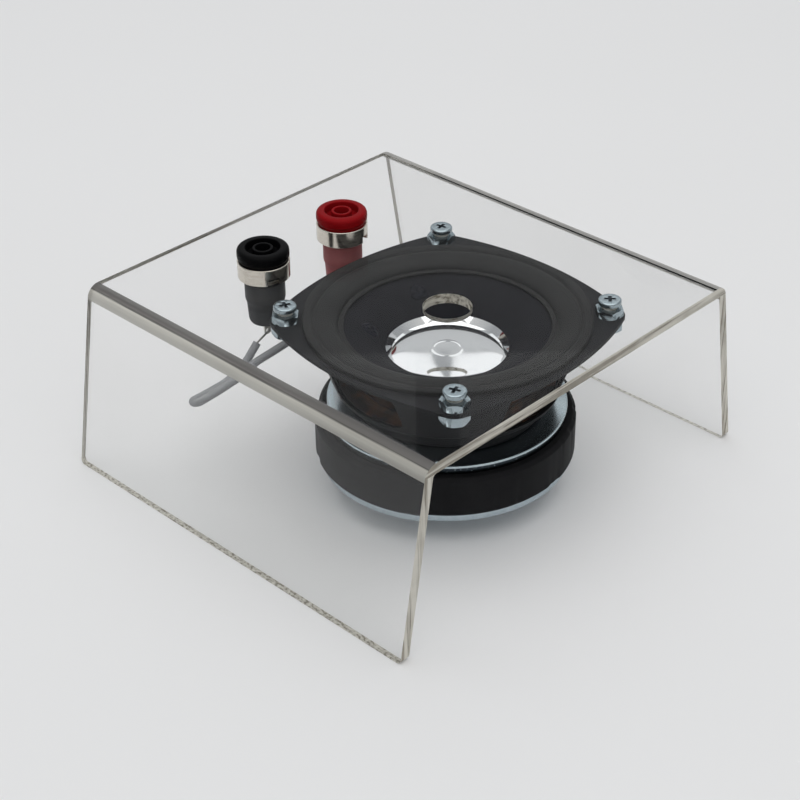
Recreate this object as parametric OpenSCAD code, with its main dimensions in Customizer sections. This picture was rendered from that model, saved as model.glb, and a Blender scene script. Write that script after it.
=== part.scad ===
// Full-range speaker driver hung cone-up beneath a bent clear acrylic stand,
// with two 4 mm sockets in the stand and grey leads to the driver's terminals.
// Origin: middle of the stand's footprint on the table, +Z up.

/* [Stand] */
// Width between the two bend lines, measured at the outer faces
stand_w = 120; // [112:1:160]
// Depth of the acrylic sheet, along the open sides
stand_d = 128; // [122:1:170]
// Height of the stand's top face above the table
stand_h = 54.5; // [50:0.5:90]
// Thickness of the acrylic sheet
sheet_t = 3; // [2:0.5:5]
// Outward lean of each leg, in degrees
leg_splay = 10; // [0:1:18]
// Inside radius of the two heat bends
bend_r = 1; // [0.5:0.5:6]
// Radius of the sheet's corners at the feet
corner_r = 1.5; // [0.5:0.5:6]
// Hole in the sheet above the middle of the driver
centre_hole_d = 13.5; // [6:0.5:30]

/* [Fixings] */
// Sideways place of the driver's axis
driver_x = -0.5; // [-8:0.5:8]
// Place of the driver's axis along the depth
driver_y = -16; // [-18:0.5:-6]
// Spacing of the four screws, both ways
screw_pitch = 62; // [60:0.5:64]
// Thread diameter of the screws
screw_d = 4; // [3:0.5:4.5]
// Length of the screws under the head
screw_len = 10; // [9.5:0.5:14]
// Diameter of the pan heads
head_d = 6.4; // [6:0.1:8]
// Height of the low domed heads
head_h = 1.4; // [1.2:0.1:3]
// Width of the hexagon nuts across their flats
nut_af = 7; // [6.5:0.1:8]
// Height of the thin hexagon nuts under the sheet
nut_h = 2.3; // [2:0.1:3.2]
// Height of the hexagon nuts under the ears
ear_nut_h = 3.2; // [2:0.1:3.4]

/* [Basket] */
// Thickness of the pressed steel
basket_t = 1; // [0.6:0.1:1.4]
// Height from the motor's top plate to the underside of the flange
basket_h = 23.2; // [20:0.2:26]
// Width of the flange outside the surround's lip, at the middle of each side
flange_rim = 1.6; // [1:0.1:2.4]
// Radius of the ears round the screws
ear_r = 4.35; // [3.8:0.05:5]
// How far the bowl's wall lies inside the edge of the surround's lip
lip_seat = 1.8; // [1.4:0.1:2.4]
// Outer radius of the ledge that carries the spider
ledge_r = 31.2; // [30.4:0.1:32.4]
// Height of that ledge above the motor's top plate
ledge_h = 6.5; // [5:0.1:8]
// Width of that ledge, from the cup below it
ledge_w = 4; // [3:0.1:5]
// Width of the four windows
window_w = 24; // [14:0.5:30]
// Height of the four windows
window_h = 11.5; // [6:0.5:12.5]

/* [Cone] */
// Depth of the cone's outer edge below the flange's face
cone_edge_drop = 2.3; // [1.8:0.1:3]
// Height of the cone from its neck to its edge
cone_h = 12.1; // [11:0.1:12.8]
// Slope of the cone at its edge, in degrees
edge_slope = 10; // [8:1:14]
// Slope of the cone at its neck, in degrees
neck_slope = 56; // [50:1:60]
// Thickness of the paper cone
cone_t = 0.5; // [0.3:0.1:0.8]
// Outer radius of the dust cap
cap_r = 16.9; // [15.5:0.1:20]
// Width of the cap's turned-up lip
cap_lip = 1.5; // [0.8:0.1:2]
// Rise of the cap's low crown above its bottom corner
cap_rise = 1; // [0.4:0.1:3]
// Thickness of the cap
cap_t = 0.4; // [0.2:0.1:0.6]

/* [Suspension] */
// Gap between the surround's thick lip and the nuts above the flange
lip_gap = 0.4; // [0.2:0.1:1.2]
// Width of the surround's roll
roll_w = 6.5; // [5.6:0.1:7.4]
// Height of that lip above the flange
lip_h = 1.3; // [0.8:0.1:1.6]
// Height of the surround's roll above its feet
roll_h = 1.4; // [1:0.1:1.6]
// Thickness of the surround
surround_t = 0.6; // [0.4:0.1:0.8]
// Number of ripples in the spider
ripples = 5; // [3:1:7]
// Height of the spider's ripples
ripple_h = 1.2; // [0.6:0.1:1.6]
// Thickness of the spider's cloth
spider_t = 0.4; // [0.3:0.1:0.6]

/* [Motor] */
// Radius of the ferrite ring
magnet_r = 36; // [34.5:0.5:40]
// Height of the ferrite ring
magnet_h = 12.4; // [10:0.1:14]
// Radius of the top plate
top_plate_r = 33.5; // [30:0.5:35]
// Thickness of the top plate
top_plate_t = 2.5; // [2:0.1:4]
// Radius of the back plate
back_plate_r = 34.8; // [30:0.2:36]
// Thickness of the back plate
back_plate_t = 2.1; // [1.6:0.1:4]
// Outer radius of the voice coil's former
former_r = 12.75; // [12:0.05:13.2]
// Length of the voice coil's former
former_l = 15.9; // [15:0.1:17]
// Height of the voice coil's winding
coil_h = 7.5; // [5:0.5:9]
// Thickness of the voice coil's winding
coil_t = 0.5; // [0.3:0.1:0.6]
// Air gap on each side of the voice coil
air_gap = 0.5; // [0.35:0.05:0.8]

/* [Terminals] */
// Width of the terminal strip
strip_w = 18; // [16:0.5:24]
// Depth of the terminal strip
strip_d = 8.4; // [7:0.2:9]
// Thickness of the terminal strip
strip_t = 1.2; // [0.8:0.1:2]
// Spacing of the two terminal tags
tag_pitch = 12; // [11:0.5:13]

/* [Sockets] */
// Sideways place of the black socket
black_x = -22.3; // [-26:0.1:-21]
// Sideways place of the red socket
red_x = 8.2; // [4:0.1:10]
// Place of both sockets along the depth
socket_y = 33.3; // [32:0.1:37]
// Diameter of the coloured heads
socket_head_d = 14.7; // [13:0.1:17]
// Height of the coloured heads
socket_head_h = 3.9; // [3.5:0.1:6]
// Diameter of the slotted ring nuts
ring_nut_d = 14.8; // [13:0.1:16]
// Height of the slotted ring nuts
ring_nut_h = 4.9; // [3.5:0.1:7]
// Diameter of the socket bodies under the sheet
socket_body_d = 11.4; // [10.6:0.2:13]
// Length of the socket bodies under the sheet
socket_body_l = 13.4; // [10:0.2:15]
// Diameter of the plug that the sockets take
plug_d = 4; // [3:0.1:4.4]

/* [Leads] */
// Diameter of the grey insulation
lead_d = 2.3; // [1.6:0.1:2.6]
// Diameter of the bare wire at the ends
wire_d = 0.6; // [0.4:0.1:0.9]
// Diameter of the braided leads to the cone
tinsel_d = 0.9; // [0.6:0.1:1.2]

/* [Hidden] */
$fn = 96;

// Clearances: thread and press fits, holes round screws, faces of soft parts
fit_gap = 0.05;
screw_gap = 0.15;
soft_gap = 0.1;
// Running gap of the coil in the basket's floor, and how far the surround's lip hangs over the bowl
floor_gap = 1.2;
lip_hang = 0.4;
// How far a cutting tool runs past the face that it cuts
past = 1;

// Heights, from the top of the stand down to the motor's back
sheet_z = stand_h - sheet_t;
flange_top = sheet_z - nut_h;
flange_z = flange_top - basket_t;
motor_top = flange_z - basket_h;
magnet_top = motor_top - top_plate_t;
magnet_z = magnet_top - magnet_h;
back_z = magnet_z - back_plate_t;
ledge_z = motor_top + ledge_h;

// Outer radius of the stand's two bends, and the strips that make each of them
bend_out = bend_r + sheet_t;
bend_steps = 10;

// Screws: corners of the square, hole in the ears, how far each nut and head is turned
ear_hole_gap = 0.5;
CORNERS = [[-1, -1], [-1, 1], [1, -1], [1, 1]];
NUT_TURNS = [12, 42, 50, 13];
EAR_NUT_TURNS = [12, 13, 42, 50];
HEAD_TURNS = [20, 65, 40, 10];
ear_hole_d = screw_d + ear_hole_gap;
recess_w = 0.8;
recess_l = 3;
recess_depth = 0.9;
head_rim = 0.45;
head_steps = 6;
nut_chamfer = 0.35;
nut_corner_r = nut_af / 2 / cos(30);

// Radii from the screws inwards: lip of the surround, flange, bowl, roll, edge of the cone
ear_c = screw_pitch / 2;
lip_r = ear_c * sqrt(2) - nut_corner_r - lip_gap;
flange_side_r = lip_r + flange_rim;
bowl_r = lip_r - lip_seat;
lip_in = bowl_r - lip_hang;
roll_out = lip_in - basket_t;
roll_in = roll_out - roll_w;
cone_r = roll_in - soft_gap;
cup_r = ledge_r - ledge_w;

// Flange: each side is an arc that runs into the ears, so its centre lies past the axis
side_gap = flange_side_r - ear_r;
side_shift = (2 * ear_c * ear_c - side_gap * side_gap) / (2 * (side_gap - ear_c));
side_arc_r = flange_side_r + side_shift;
ear_reach = side_arc_r - ear_r;
touch = [ear_c + ear_r * (ear_c + side_shift) / ear_reach, ear_c + ear_r * ear_c / ear_reach];

// Bowl of the basket: rounding of the cup's foot, drafts of its two walls, hole in its floor
cup_round = 1;
cup_draft = 0.8;
ledge_draft = 0.4;
window_sill = 1;
floor_hole_r = former_r + coil_t + floor_gap;
window_z = ledge_z + window_sill;
window_round = 2.5;

// Cone: neck round the former, and the crossing of the two end slopes that bends its profile
neck_r = former_r + fit_gap;
edge_z = flange_top - cone_edge_drop;
neck_z = edge_z - cone_h;
bend_x = (cone_h - cone_r * tan(edge_slope) + neck_r * tan(neck_slope))
    / (tan(neck_slope) - tan(edge_slope));
bend_z = neck_z + (bend_x - neck_r) * tan(neck_slope);
cone_steps = 10;
cap_steps = 8;
cap_foot_r = cap_r - cap_lip;

// Surround: inner foot on the cone's edge, roll, and the step up to its lip
foot_w = 1.3;
foot_r = cone_r - foot_w;
roll_steps = 12;

// Spider: collar round the former, rippled part, and the ring glued to the ledge
collar_w = 0.8;
ring_r = ledge_r - basket_t;
ring_in = cup_r;
spider_steps = 8;

// Motor: bore of the top plate, pole, its spigot in the back plate, bore of the ferrite ring
gap_r = former_r + coil_t + air_gap;
former_t = 0.2;
pole_r = former_r - former_t - air_gap;
pole_proud = 0.6;
magnet_gap = 2.8;
spigot_r = 8;
magnet_bore_r = gap_r + magnet_gap;
plate_chamfer = 0.4;
magnet_chamfer = 1;
former_proud = 0.7;
coil_lift = 0.3;
former_top = neck_z + former_proud;
former_z = former_top - former_l;

// Terminal strip: it lies on a tab of the ledge, behind the basket
strip_gap = 1.4;
strip_y = ledge_r + strip_gap;
strip_z = ledge_z;
tab_w = 8;
tab_short = 1.5;
tab_end = strip_y + strip_d - tab_short;
rivet_y = strip_y + strip_d / 2;
rivet_r = 1.25;
rivet_head_r = 2.2;
rivet_head_t = 0.5;
tag_w = 3.2;
tag_t = 0.5;
tag_inset = 0.8;
tag_in = strip_y + tag_inset;
tag_reach = 3.4;
tag_end = strip_y + strip_d + tag_reach;
tag_top = strip_z + strip_t + tag_t;
stake_r = 1;
tag_hole_r = 0.8;

// Sockets: threaded neck through the sheet, contact tube, annular groove, slots, rounded edges
neck_d = 9;
contact_wall = 0.8;
contact_d = plug_d + 2 * contact_wall;
contact_floor = 1.4;
head_seat = 1;
groove_out = 9.8;
groove_in = 5.8;
groove_depth = 2.4;
head_round = 1.4;
head_chamfer = 0.4;
nut_edge = 0.3;
body_step = 1;
body_round = 1.6;
body_taper = 0.8;
slot_w = 3.4;
slot_h = 2;
socket_hole_d = neck_d + 2 * screw_gap;
body_z = sheet_z - socket_body_l;
solder_w = 2.4;
solder_t = 0.6;
solder_l = 4.5;
solder_hole_r = 0.7;
nut_top = stand_h + ring_nut_h;
head_top = nut_top + socket_head_h;
neck_top = nut_top + head_seat - fit_gap;
black_nut_turn = 69;
red_nut_turn = 112;

// Leads: sides of a tube, cuts between two points of a route, and hand-laid routes of the insulation.
// The route of the braided leads gives, in x, y and z, the share of the way from the cone to the tag
lead_sides = 8;
lead_cuts = 3;
BLACK_ROUTE = [[-27.9, 31.6, 33.7], [-29.8, 31.8, 31.6], [-32.4, 32, 29.2], [-38, 32, 27.1], [-43, 32, 26.6],
    [-47.6, 32, 26.25], [-49.9, 32, 26.2], [-50.8, 31.71, 26.44], [-51.2, 31, 27], [-50.8, 30.29, 27.56],
    [-49.9, 30, 27.8], [-47, 30, 27.9], [-42, 29.9, 28.2], [-36, 29.6, 28.8], [-30, 29.2, 29.7],
    [-22, 27.6, 31.8], [-15.5, 26.8, 33.4], [-10.5, 26.6, 33.8]];
RED_ROUTE = [[8.6, 31.2, 33], [10.6, 32.2, 31.4], [11.9, 33, 28.8], [11.6, 31.6, 26.6], [10.4, 29.8, 27],
    [9.8, 28.4, 29.6], [9.4, 27.2, 32.4], [8.4, 26.6, 33.7]];
TINSEL_ROUTE = [[0, 0, 0], [0.07, 0.16, 0.3], [0.33, 0.44, 0.6], [0.7, 0.73, 0.82], [0.97, 0.92, 0.98],
    [1, 1, 1]];
tinsel_x = 12;
tinsel_y = 17.6;
tinsel_lap = 2;

function lerp(a, b, t) = a + (b - a) * t;
function unit(v) = v / norm(v);

// Arc of a circle as points, from angle a0 to a1
function arc(c, r, a0, a1, n = 4) =
    [for (i = [0:n]) c + r * [cos(lerp(a0, a1, i / n)), sin(lerp(a0, a1, i / n))]];

// Profile of the cone's face: a curve from the neck to the edge, pulled towards the slopes' crossing
function cone_at(t) =
    (1 - t) * (1 - t) * [neck_r, neck_z] + 2 * t * (1 - t) * [bend_x, bend_z] + t * t * [cone_r, edge_z];
function cone_t_at(r, a = neck_r - 2 * bend_x + cone_r, b = bend_x - neck_r) =
    abs(a) < 0.001 ? (r - neck_r) / (2 * b) : (-b + sqrt(b * b + a * (r - neck_r))) / a;
function cone_z(r) = cone_at(cone_t_at(r))[1];

// Smooth path through hand-laid points, then rings of a tube along it
function spline(a, b, c, d, t) = 0.5 * (2 * b + (c - a) * t + (2 * a - 5 * b + 4 * c - d) * t * t
    + (3 * b - a - 3 * c + d) * t * t * t);
function smooth(p, n) = [
    for (i = [0:len(p) - 2], j = [0:n - 1])
        spline(p[max(i - 1, 0)], p[i], p[i + 1], p[min(i + 2, len(p) - 1)], j / n),
    p[len(p) - 1]];
function heading(p, i) = unit(p[min(i + 1, len(p) - 1)] - p[max(i - 1, 0)]);
function ring(c, along, r, n, side = [0, 1, 0]) =
    let (u = unit(cross(along, side)), v = cross(along, u))
    [for (k = [0:n - 1]) c + r * (cos(360 * k / n) * u + sin(360 * k / n) * v)];

module tube(path, d, n = lead_sides, side = [0, 1, 0]) {
    rings = len(path);
    points = [for (i = [0:rings - 1]) each ring(path[i], heading(path, i), d / 2, n, side)];
    sides = [for (i = [0:rings - 2], k = [0:n - 1], f = [0, 1])
        let (a = i * n + k, b = i * n + (k + 1) % n)
        f == 0 ? [a, b + n, b] : [a, a + n, b + n]];
    near = [for (k = [1:n - 2]) [0, k, k + 1]];
    far = [for (k = [1:n - 2]) [(rings - 1) * n, (rings - 1) * n + k + 1, (rings - 1) * n + k]];
    polyhedron(points = points, faces = concat(sides, near, far));
}

module disc(r, z, h, bore = 0, chamfer = 0) {
    rotate_extrude()
        polygon([[bore, z], [r - chamfer, z], [r, z + chamfer], [r, z + h - chamfer],
            [r - chamfer, z + h], [bore, z + h]]);
}

module ring_wall(r_out, r_in, z, h) {
    difference() {
        translate([0, 0, z])
            cylinder(r = r_out, h = h);
        translate([0, 0, z - past])
            cylinder(r = r_in, h = h + 2 * past);
    }
}

module rounded_rect(w, h, r) {
    translate([-w / 2 + r, 0])
        square([w - 2 * r, h]);
    translate([-w / 2, r])
        square([w, h - 2 * r]);
    for (sx = [-1, 1], y = [r, h - r])
        translate([sx * (w / 2 - r), y])
            circle(r = r);
}

module at_driver() {
    translate([driver_x, driver_y, 0])
        children();
}

module at_corner(i) {
    translate([driver_x + CORNERS[i][0] * ear_c, driver_y + CORNERS[i][1] * ear_c, 0])
        children();
}

// Line of the stand's section at a depth below its outer face, over both legs
function section_line(inset) =
    let (lean = tan(leg_splay), top = stand_h - inset, r = bend_out - inset,
        edge = stand_w / 2 - inset / cos(leg_splay) + inset * lean, run = r * tan((90 - leg_splay) / 2),
        foot = [edge + (top + past) * lean, -past],
        half = concat([foot], arc([edge - run, top - r], r, leg_splay, 90, bend_steps)))
    concat(half, [for (i = [len(half) - 1:-1:0]) [-half[i][0], half[i][1]]]);

// What rounds one lower corner of a leg: a square block less a quarter of a round bar
module corner_cut() {
    translate([stand_w / 2 + stand_h * tan(leg_splay), 0, 0])
        rotate([0, 90 - leg_splay, 0])
            difference() {
                translate([-corner_r, stand_d / 2 - corner_r, -2 * sheet_t])
                    cube([corner_r + sheet_t, corner_r + past, 3 * sheet_t]);
                translate([-corner_r, stand_d / 2 - corner_r, -3 * sheet_t])
                    cylinder(r = corner_r, h = 5 * sheet_t);
            }
}

module acrylic_stand() {
    outer = section_line(0);
    inner = section_line(sheet_t);
    color([0.85, 0.88, 0.88, 0.45])
        difference() {
            translate([0, stand_d / 2, 0])
                rotate([90, 0, 0])
                    linear_extrude(stand_d)
                        polygon(concat(outer, [for (i = [len(inner) - 1:-1:0]) inner[i]]));
            translate([-stand_w, -stand_d, -stand_h])
                cube([2 * stand_w, 2 * stand_d, stand_h]);
            for (sx = [0, 1], sy = [0, 1])
                mirror([sx, 0, 0])
                    mirror([0, sy, 0])
                        corner_cut();
            at_driver()
                translate([0, 0, sheet_z - past])
                    cylinder(d = centre_hole_d, h = sheet_t + 2 * past);
            for (i = [0:3])
                at_corner(i)
                    translate([0, 0, sheet_z - past])
                        cylinder(r = screw_d / 2 + screw_gap, h = sheet_t + 2 * past);
            for (x = [black_x, red_x])
                translate([x, socket_y, sheet_z - past])
                    cylinder(d = socket_hole_d, h = sheet_t + 2 * past);
        }
}

// Low domed head with a cross recess on a plain shank with a chamfered end
module screw(turn) {
    r = head_d / 2;
    difference() {
        rotate_extrude()
            polygon(concat([[0, stand_h], [r, stand_h]],
                [for (i = [0:head_steps])
                    let (f = 1 - i / head_steps)
                    [r * f, stand_h + head_h - (head_h - head_rim) * f * f]]));
        for (a = [0, 90])
            rotate([0, 0, turn + a])
                translate([-recess_l / 2, -recess_w / 2, stand_h + head_h - recess_depth])
                    cube([recess_l, recess_w, recess_depth + past]);
    }
    translate([0, 0, stand_h - screw_len + recess_w])
        cylinder(d = screw_d, h = screw_len - recess_w);
    translate([0, 0, stand_h - screw_len])
        cylinder(d1 = screw_d - 2 * recess_w, d2 = screw_d, h = recess_w);
}

module hex_nut(turn, h) {
    difference() {
        intersection() {
            rotate([0, 0, turn])
                cylinder(r = nut_corner_r, h = h, $fn = 6);
            rotate_extrude()
                polygon([[0, 0], [nut_af / 2, 0], [nut_corner_r, nut_chamfer],
                    [nut_corner_r, h - nut_chamfer], [nut_af / 2, h], [0, h]]);
        }
        translate([0, 0, -past])
            cylinder(r = screw_d / 2 + fit_gap, h = h + 2 * past);
    }
}

module mounting_screws() {
    color("lightsteelblue")
        for (i = [0:3])
            at_corner(i)
                screw(HEAD_TURNS[i]);
}

module plate_nuts() {
    color("lightsteelblue")
        for (i = [0:3])
            at_corner(i)
                translate([0, 0, flange_top])
                    hex_nut(NUT_TURNS[i], nut_h);
}

module ear_nuts() {
    color("lightsteelblue")
        for (i = [0:3])
            at_corner(i)
                translate([0, 0, flange_z - ear_nut_h])
                    hex_nut(EAR_NUT_TURNS[i], ear_nut_h);
}

// Square flange with bulging sides that run into a round ear at each corner
module flange_outline() {
    intersection() {
        intersection_for (a = [0:90:270])
            rotate(a)
                translate([-side_shift, 0])
                    circle(r = side_arc_r, $fn = 240);
        rotate(45)
            square((touch[0] + touch[1]) * sqrt(2), center = true);
    }
    for (c = CORNERS)
        translate(c * ear_c)
            circle(r = ear_r);
}

module basket() {
    color([0.12, 0.12, 0.13])
        at_driver()
            difference() {
                union() {
                    translate([0, 0, flange_z])
                        linear_extrude(basket_t)
                            flange_outline();
                    rotate_extrude()
                        polygon([[floor_hole_r, motor_top], [cup_r - cup_round, motor_top],
                            [cup_r, motor_top + cup_round], [cup_r + cup_draft, ledge_z - basket_t],
                            [ledge_r, ledge_z - basket_t], [ledge_r + ledge_draft, ledge_z],
                            [bowl_r, flange_z], [bowl_r, flange_top], [floor_hole_r, flange_top]]);
                    translate([-tab_w / 2, ledge_r - basket_t, ledge_z - basket_t])
                        cube([tab_w, tab_end - ledge_r + basket_t, basket_t]);
                }
                rotate_extrude()
                    polygon([[0, motor_top + basket_t], [cup_r - basket_t, motor_top + basket_t],
                        [cup_r + cup_draft - basket_t, ledge_z],
                        [ledge_r + ledge_draft - basket_t, ledge_z],
                        [bowl_r - basket_t, flange_z], [bowl_r - basket_t, flange_top + past],
                        [0, flange_top + past]]);
                for (c = CORNERS)
                    translate([c[0] * ear_c, c[1] * ear_c, flange_z - past])
                        cylinder(d = ear_hole_d, h = basket_t + 2 * past);
                for (a = [0:90:270])
                    rotate([90, 0, a + 90])
                        translate([0, window_z, cup_r])
                            linear_extrude(bowl_r)
                                rounded_rect(window_w, window_h, window_round);
                translate([0, rivet_y, ledge_z - basket_t - past])
                    cylinder(r = rivet_r + fit_gap, h = basket_t + 2 * past);
            }
}

// Half roll between a thick outer lip on the flange and a thin foot on the cone's edge
module surround() {
    mid = (roll_in + roll_out) / 2;
    half = (roll_out - roll_in) / 2;
    z_in = edge_z + soft_gap;
    z_out = flange_top;
    roll = [for (i = [0:roll_steps])
        let (a = 180 * i / roll_steps, f = i / roll_steps)
        [mid - half * cos(a), lerp(z_in, z_out, f) + roll_h * sin(a)]];
    color([0.16, 0.16, 0.16])
        at_driver()
            rotate_extrude()
                polygon(concat([[foot_r, z_in]], roll, [[lip_r, z_out], [lip_r, z_out + lip_h],
                    [lip_in, z_out + lip_h]],
                    [for (i = [roll_steps:-1:0]) roll[i] + [0, surround_t]],
                    [[foot_r, z_in + surround_t]]));
}

module cone() {
    face = [for (i = [0:cone_steps]) cone_at(i / cone_steps)];
    color([0.14, 0.14, 0.15])
        at_driver()
            rotate_extrude()
                polygon(concat(face, [for (i = [cone_steps:-1:0]) face[i] - [0, cone_t]]));
}

module dust_cap() {
    foot_z = cone_z(cap_foot_r) + fit_gap;
    crown = [for (i = [0:cap_steps])
        let (r = cap_foot_r * (1 - i / cap_steps), f = r / cap_foot_r)
        [r, foot_z + cap_rise * (1 - f * f)]];
    lip = [for (i = [0:2]) let (r = cap_r - cap_lip * i / 2) [r, cone_z(r) + fit_gap]];
    under = concat([lip[0], lip[1]], crown);
    color("gainsboro")
        at_driver()
            rotate_extrude()
                polygon(concat(under, [for (i = [len(under) - 1:-1:0]) under[i] + [0, cap_t]]));
}

module voice_coil_former() {
    color("tan")
        at_driver()
            ring_wall(former_r, former_r - former_t, former_z, former_l);
}

module voice_coil() {
    color("peru")
        at_driver()
            ring_wall(former_r + coil_t, former_r + fit_gap, former_z + coil_lift, coil_h);
}

// Rippled cloth disc: collar on the former, ripples, ring glued on the basket's ledge
module spider() {
    r_in = neck_r + collar_w;
    steps = ripples * spider_steps;
    wave = [for (i = [0:steps])
        [lerp(r_in, ring_in, i / steps),
            ledge_z + soft_gap + ripple_h * (1 - cos(360 * ripples * i / steps)) / 2]];
    color("sienna")
        at_driver()
            rotate_extrude()
                polygon(concat([[neck_r, wave[0][1]]], wave, [[ring_r - soft_gap, wave[0][1]],
                    [ring_r - soft_gap, wave[0][1] + spider_t]],
                    [for (i = [steps:-1:0]) wave[i] + [0, spider_t]],
                    [[r_in, wave[0][1] + ripple_h], [neck_r, wave[0][1] + ripple_h]]));
}

module top_plate() {
    color("silver")
        at_driver()
            disc(top_plate_r, magnet_top, top_plate_t, gap_r, plate_chamfer);
}

module ferrite_magnet() {
    color([0.2, 0.2, 0.21])
        at_driver()
            disc(magnet_r, magnet_z, magnet_h, magnet_bore_r, magnet_chamfer);
}

module back_plate() {
    color("silver")
        at_driver()
            disc(back_plate_r, back_z, back_plate_t, spigot_r + fit_gap, plate_chamfer);
}

module pole_piece() {
    color("silver")
        at_driver() {
            disc(pole_r, magnet_z, motor_top + pole_proud - magnet_z, 0, plate_chamfer);
            disc(spigot_r, back_z, back_plate_t + plate_chamfer);
        }
}

module terminal_strip() {
    color([0.45, 0.27, 0.13])
        at_driver()
            difference() {
                translate([-strip_w / 2, strip_y, strip_z])
                    cube([strip_w, strip_d, strip_t]);
                translate([0, rivet_y, strip_z - past])
                    cylinder(r = rivet_r + fit_gap, h = strip_t + 2 * past);
                for (s = [-1, 1])
                    translate([s * tag_pitch / 2, rivet_y, strip_z - past])
                        cylinder(r = stake_r + fit_gap, h = strip_t + 2 * past);
            }
}

// Hollow rivet through the strip and the basket's tab
module terminal_rivet() {
    stack_z = strip_z - basket_t;
    stack_h = strip_t + basket_t;
    color("silver")
        at_driver()
            translate([0, rivet_y, 0])
                difference() {
                    union() {
                        disc(rivet_head_r, stack_z - rivet_head_t, rivet_head_t, 0, rivet_head_t / 3);
                        disc(rivet_r, stack_z - rivet_head_t, stack_h + 2 * rivet_head_t);
                        disc(rivet_head_r, stack_z + stack_h, rivet_head_t, 0, rivet_head_t / 3);
                    }
                    translate([0, 0, stack_z - past])
                        cylinder(r = rivet_r / 2, h = stack_h + 2 * past);
                }
}

// Solder tags staked through the strip, each with a wire hole past the strip's edge
module terminal_tags() {
    z = strip_z + strip_t;
    color("silver")
        at_driver()
            for (s = [-1, 1])
                translate([s * tag_pitch / 2, 0, 0])
                    difference() {
                        union() {
                            translate([-tag_w / 2, tag_in, z])
                                cube([tag_w, tag_end - tag_w / 2 - tag_in, tag_t]);
                            translate([0, tag_end - tag_w / 2, z])
                                cylinder(d = tag_w, h = tag_t);
                            translate([0, rivet_y, strip_z - tag_t / 2])
                                cylinder(r = stake_r, h = strip_t + tag_t);
                        }
                        translate([0, tag_end - tag_w / 2, z - past])
                            cylinder(r = tag_hole_r, h = tag_t + 2 * past);
                    }
}

// Two braided leads, each from under the cone through the rear window to its tag
module tinsel_leads() {
    high = cone_z(norm([tinsel_x, tinsel_y])) - cone_t - tinsel_d;
    low = tag_top + tinsel_d / 2 + fit_gap;
    start = [tinsel_x, tinsel_y, high];
    end = [tag_pitch / 2, tag_in + tinsel_lap, low];
    color("goldenrod")
        at_driver()
            for (s = [1, -1]) {
                route = [for (p = TINSEL_ROUTE) [for (k = [0:2]) lerp(start[k], end[k], p[k])]];
                tube(smooth([for (p = route) [s * p[0], p[1], p[2]]], lead_cuts), tinsel_d, 6, [1, 0, 0]);
            }
}

module socket_head(x, colour) {
    r = socket_head_d / 2;
    color(colour)
        translate([x, socket_y, 0])
            difference() {
                rotate_extrude()
                    polygon(concat([[0, nut_top], [r - head_chamfer, nut_top], [r, nut_top + head_chamfer]],
                        arc([r - head_round, head_top - head_round], head_round, 0, 90, 5),
                        [[0, head_top]]));
                ring_wall(groove_out / 2, groove_in / 2, head_top - groove_depth, groove_depth + past);
                translate([0, 0, nut_top - past])
                    cylinder(d = plug_d + 2 * screw_gap, h = socket_head_h + 2 * past);
                translate([0, 0, nut_top - past])
                    cylinder(d = neck_d + 2 * fit_gap, h = head_seat + past);
            }
}

// Ring nut on the body's neck, with two spanner slots at its foot
module ring_nut(x, turn) {
    r = ring_nut_d / 2;
    color([0.72, 0.68, 0.62])
        translate([x, socket_y, 0])
            difference() {
                disc(r, stand_h, ring_nut_h, neck_d / 2 + fit_gap, nut_edge);
                rotate([0, 0, turn])
                    translate([-r - past, -slot_w / 2, stand_h - past])
                        cube([2 * r + 2 * past, slot_w, slot_h + past]);
            }
}

module socket_body(x, colour) {
    r = socket_body_d / 2;
    low = r - body_taper;
    color(colour)
        translate([x, socket_y, 0])
            difference() {
                rotate_extrude()
                    polygon(concat([[0, body_z]],
                        arc([low - body_round, body_z + body_round], body_round, -90, 0, 5),
                        [[low + body_taper / 2, body_z + socket_body_l / 2],
                        [r, body_z + socket_body_l / 2 + body_step], [r, sheet_z], [neck_d / 2, sheet_z],
                        [neck_d / 2, neck_top], [0, neck_top]]));
                translate([0, 0, body_z + contact_floor])
                    cylinder(r = contact_d / 2 + fit_gap, h = head_top);
                translate([0, 0, body_z - past])
                    cylinder(r = solder_w / 2 + screw_gap, h = contact_floor + 2 * past);
            }
}

// Plated tube that grips the plug
module socket_contact(x) {
    z = body_z + contact_floor;
    color("silver")
        translate([x, socket_y, 0])
            difference() {
                translate([0, 0, z])
                    cylinder(d = contact_d, h = neck_top - z);
                translate([0, 0, z + contact_wall])
                    cylinder(d = plug_d, h = head_top);
            }
}

module solder_tag(x) {
    top = body_z + contact_floor;
    color("silver")
        translate([x, socket_y, top - solder_l - contact_floor])
            difference() {
                union() {
                    translate([-solder_w / 2, -solder_t / 2, solder_w / 2])
                        cube([solder_w, solder_t, solder_l + contact_floor - solder_w / 2]);
                    translate([0, solder_t / 2, solder_w / 2])
                        rotate([90, 0, 0])
                            cylinder(d = solder_w, h = solder_t);
                }
                translate([0, solder_t / 2 + past, solder_w / 2])
                    rotate([90, 0, 0])
                        cylinder(r = solder_hole_r, h = solder_t + 2 * past);
            }
}

// A lead: insulation along its route, and a bare end soldered to the face of each tag
module lead(route, socket_x, tag_side) {
    last = len(route) - 1;
    start = [socket_x, socket_y - solder_t / 2 - wire_d / 2 - fit_gap, body_z - solder_l + solder_w / 2];
    end = [driver_x + tag_side * tag_pitch / 2, driver_y + tag_end - tag_w / 2,
        tag_top + wire_d / 2 + fit_gap];
    color("darkgray")
        tube(smooth(route, lead_cuts), lead_d);
    color("silver") {
        tube([start, route[0]], wire_d);
        tube([route[last], end], wire_d);
    }
}

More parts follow.
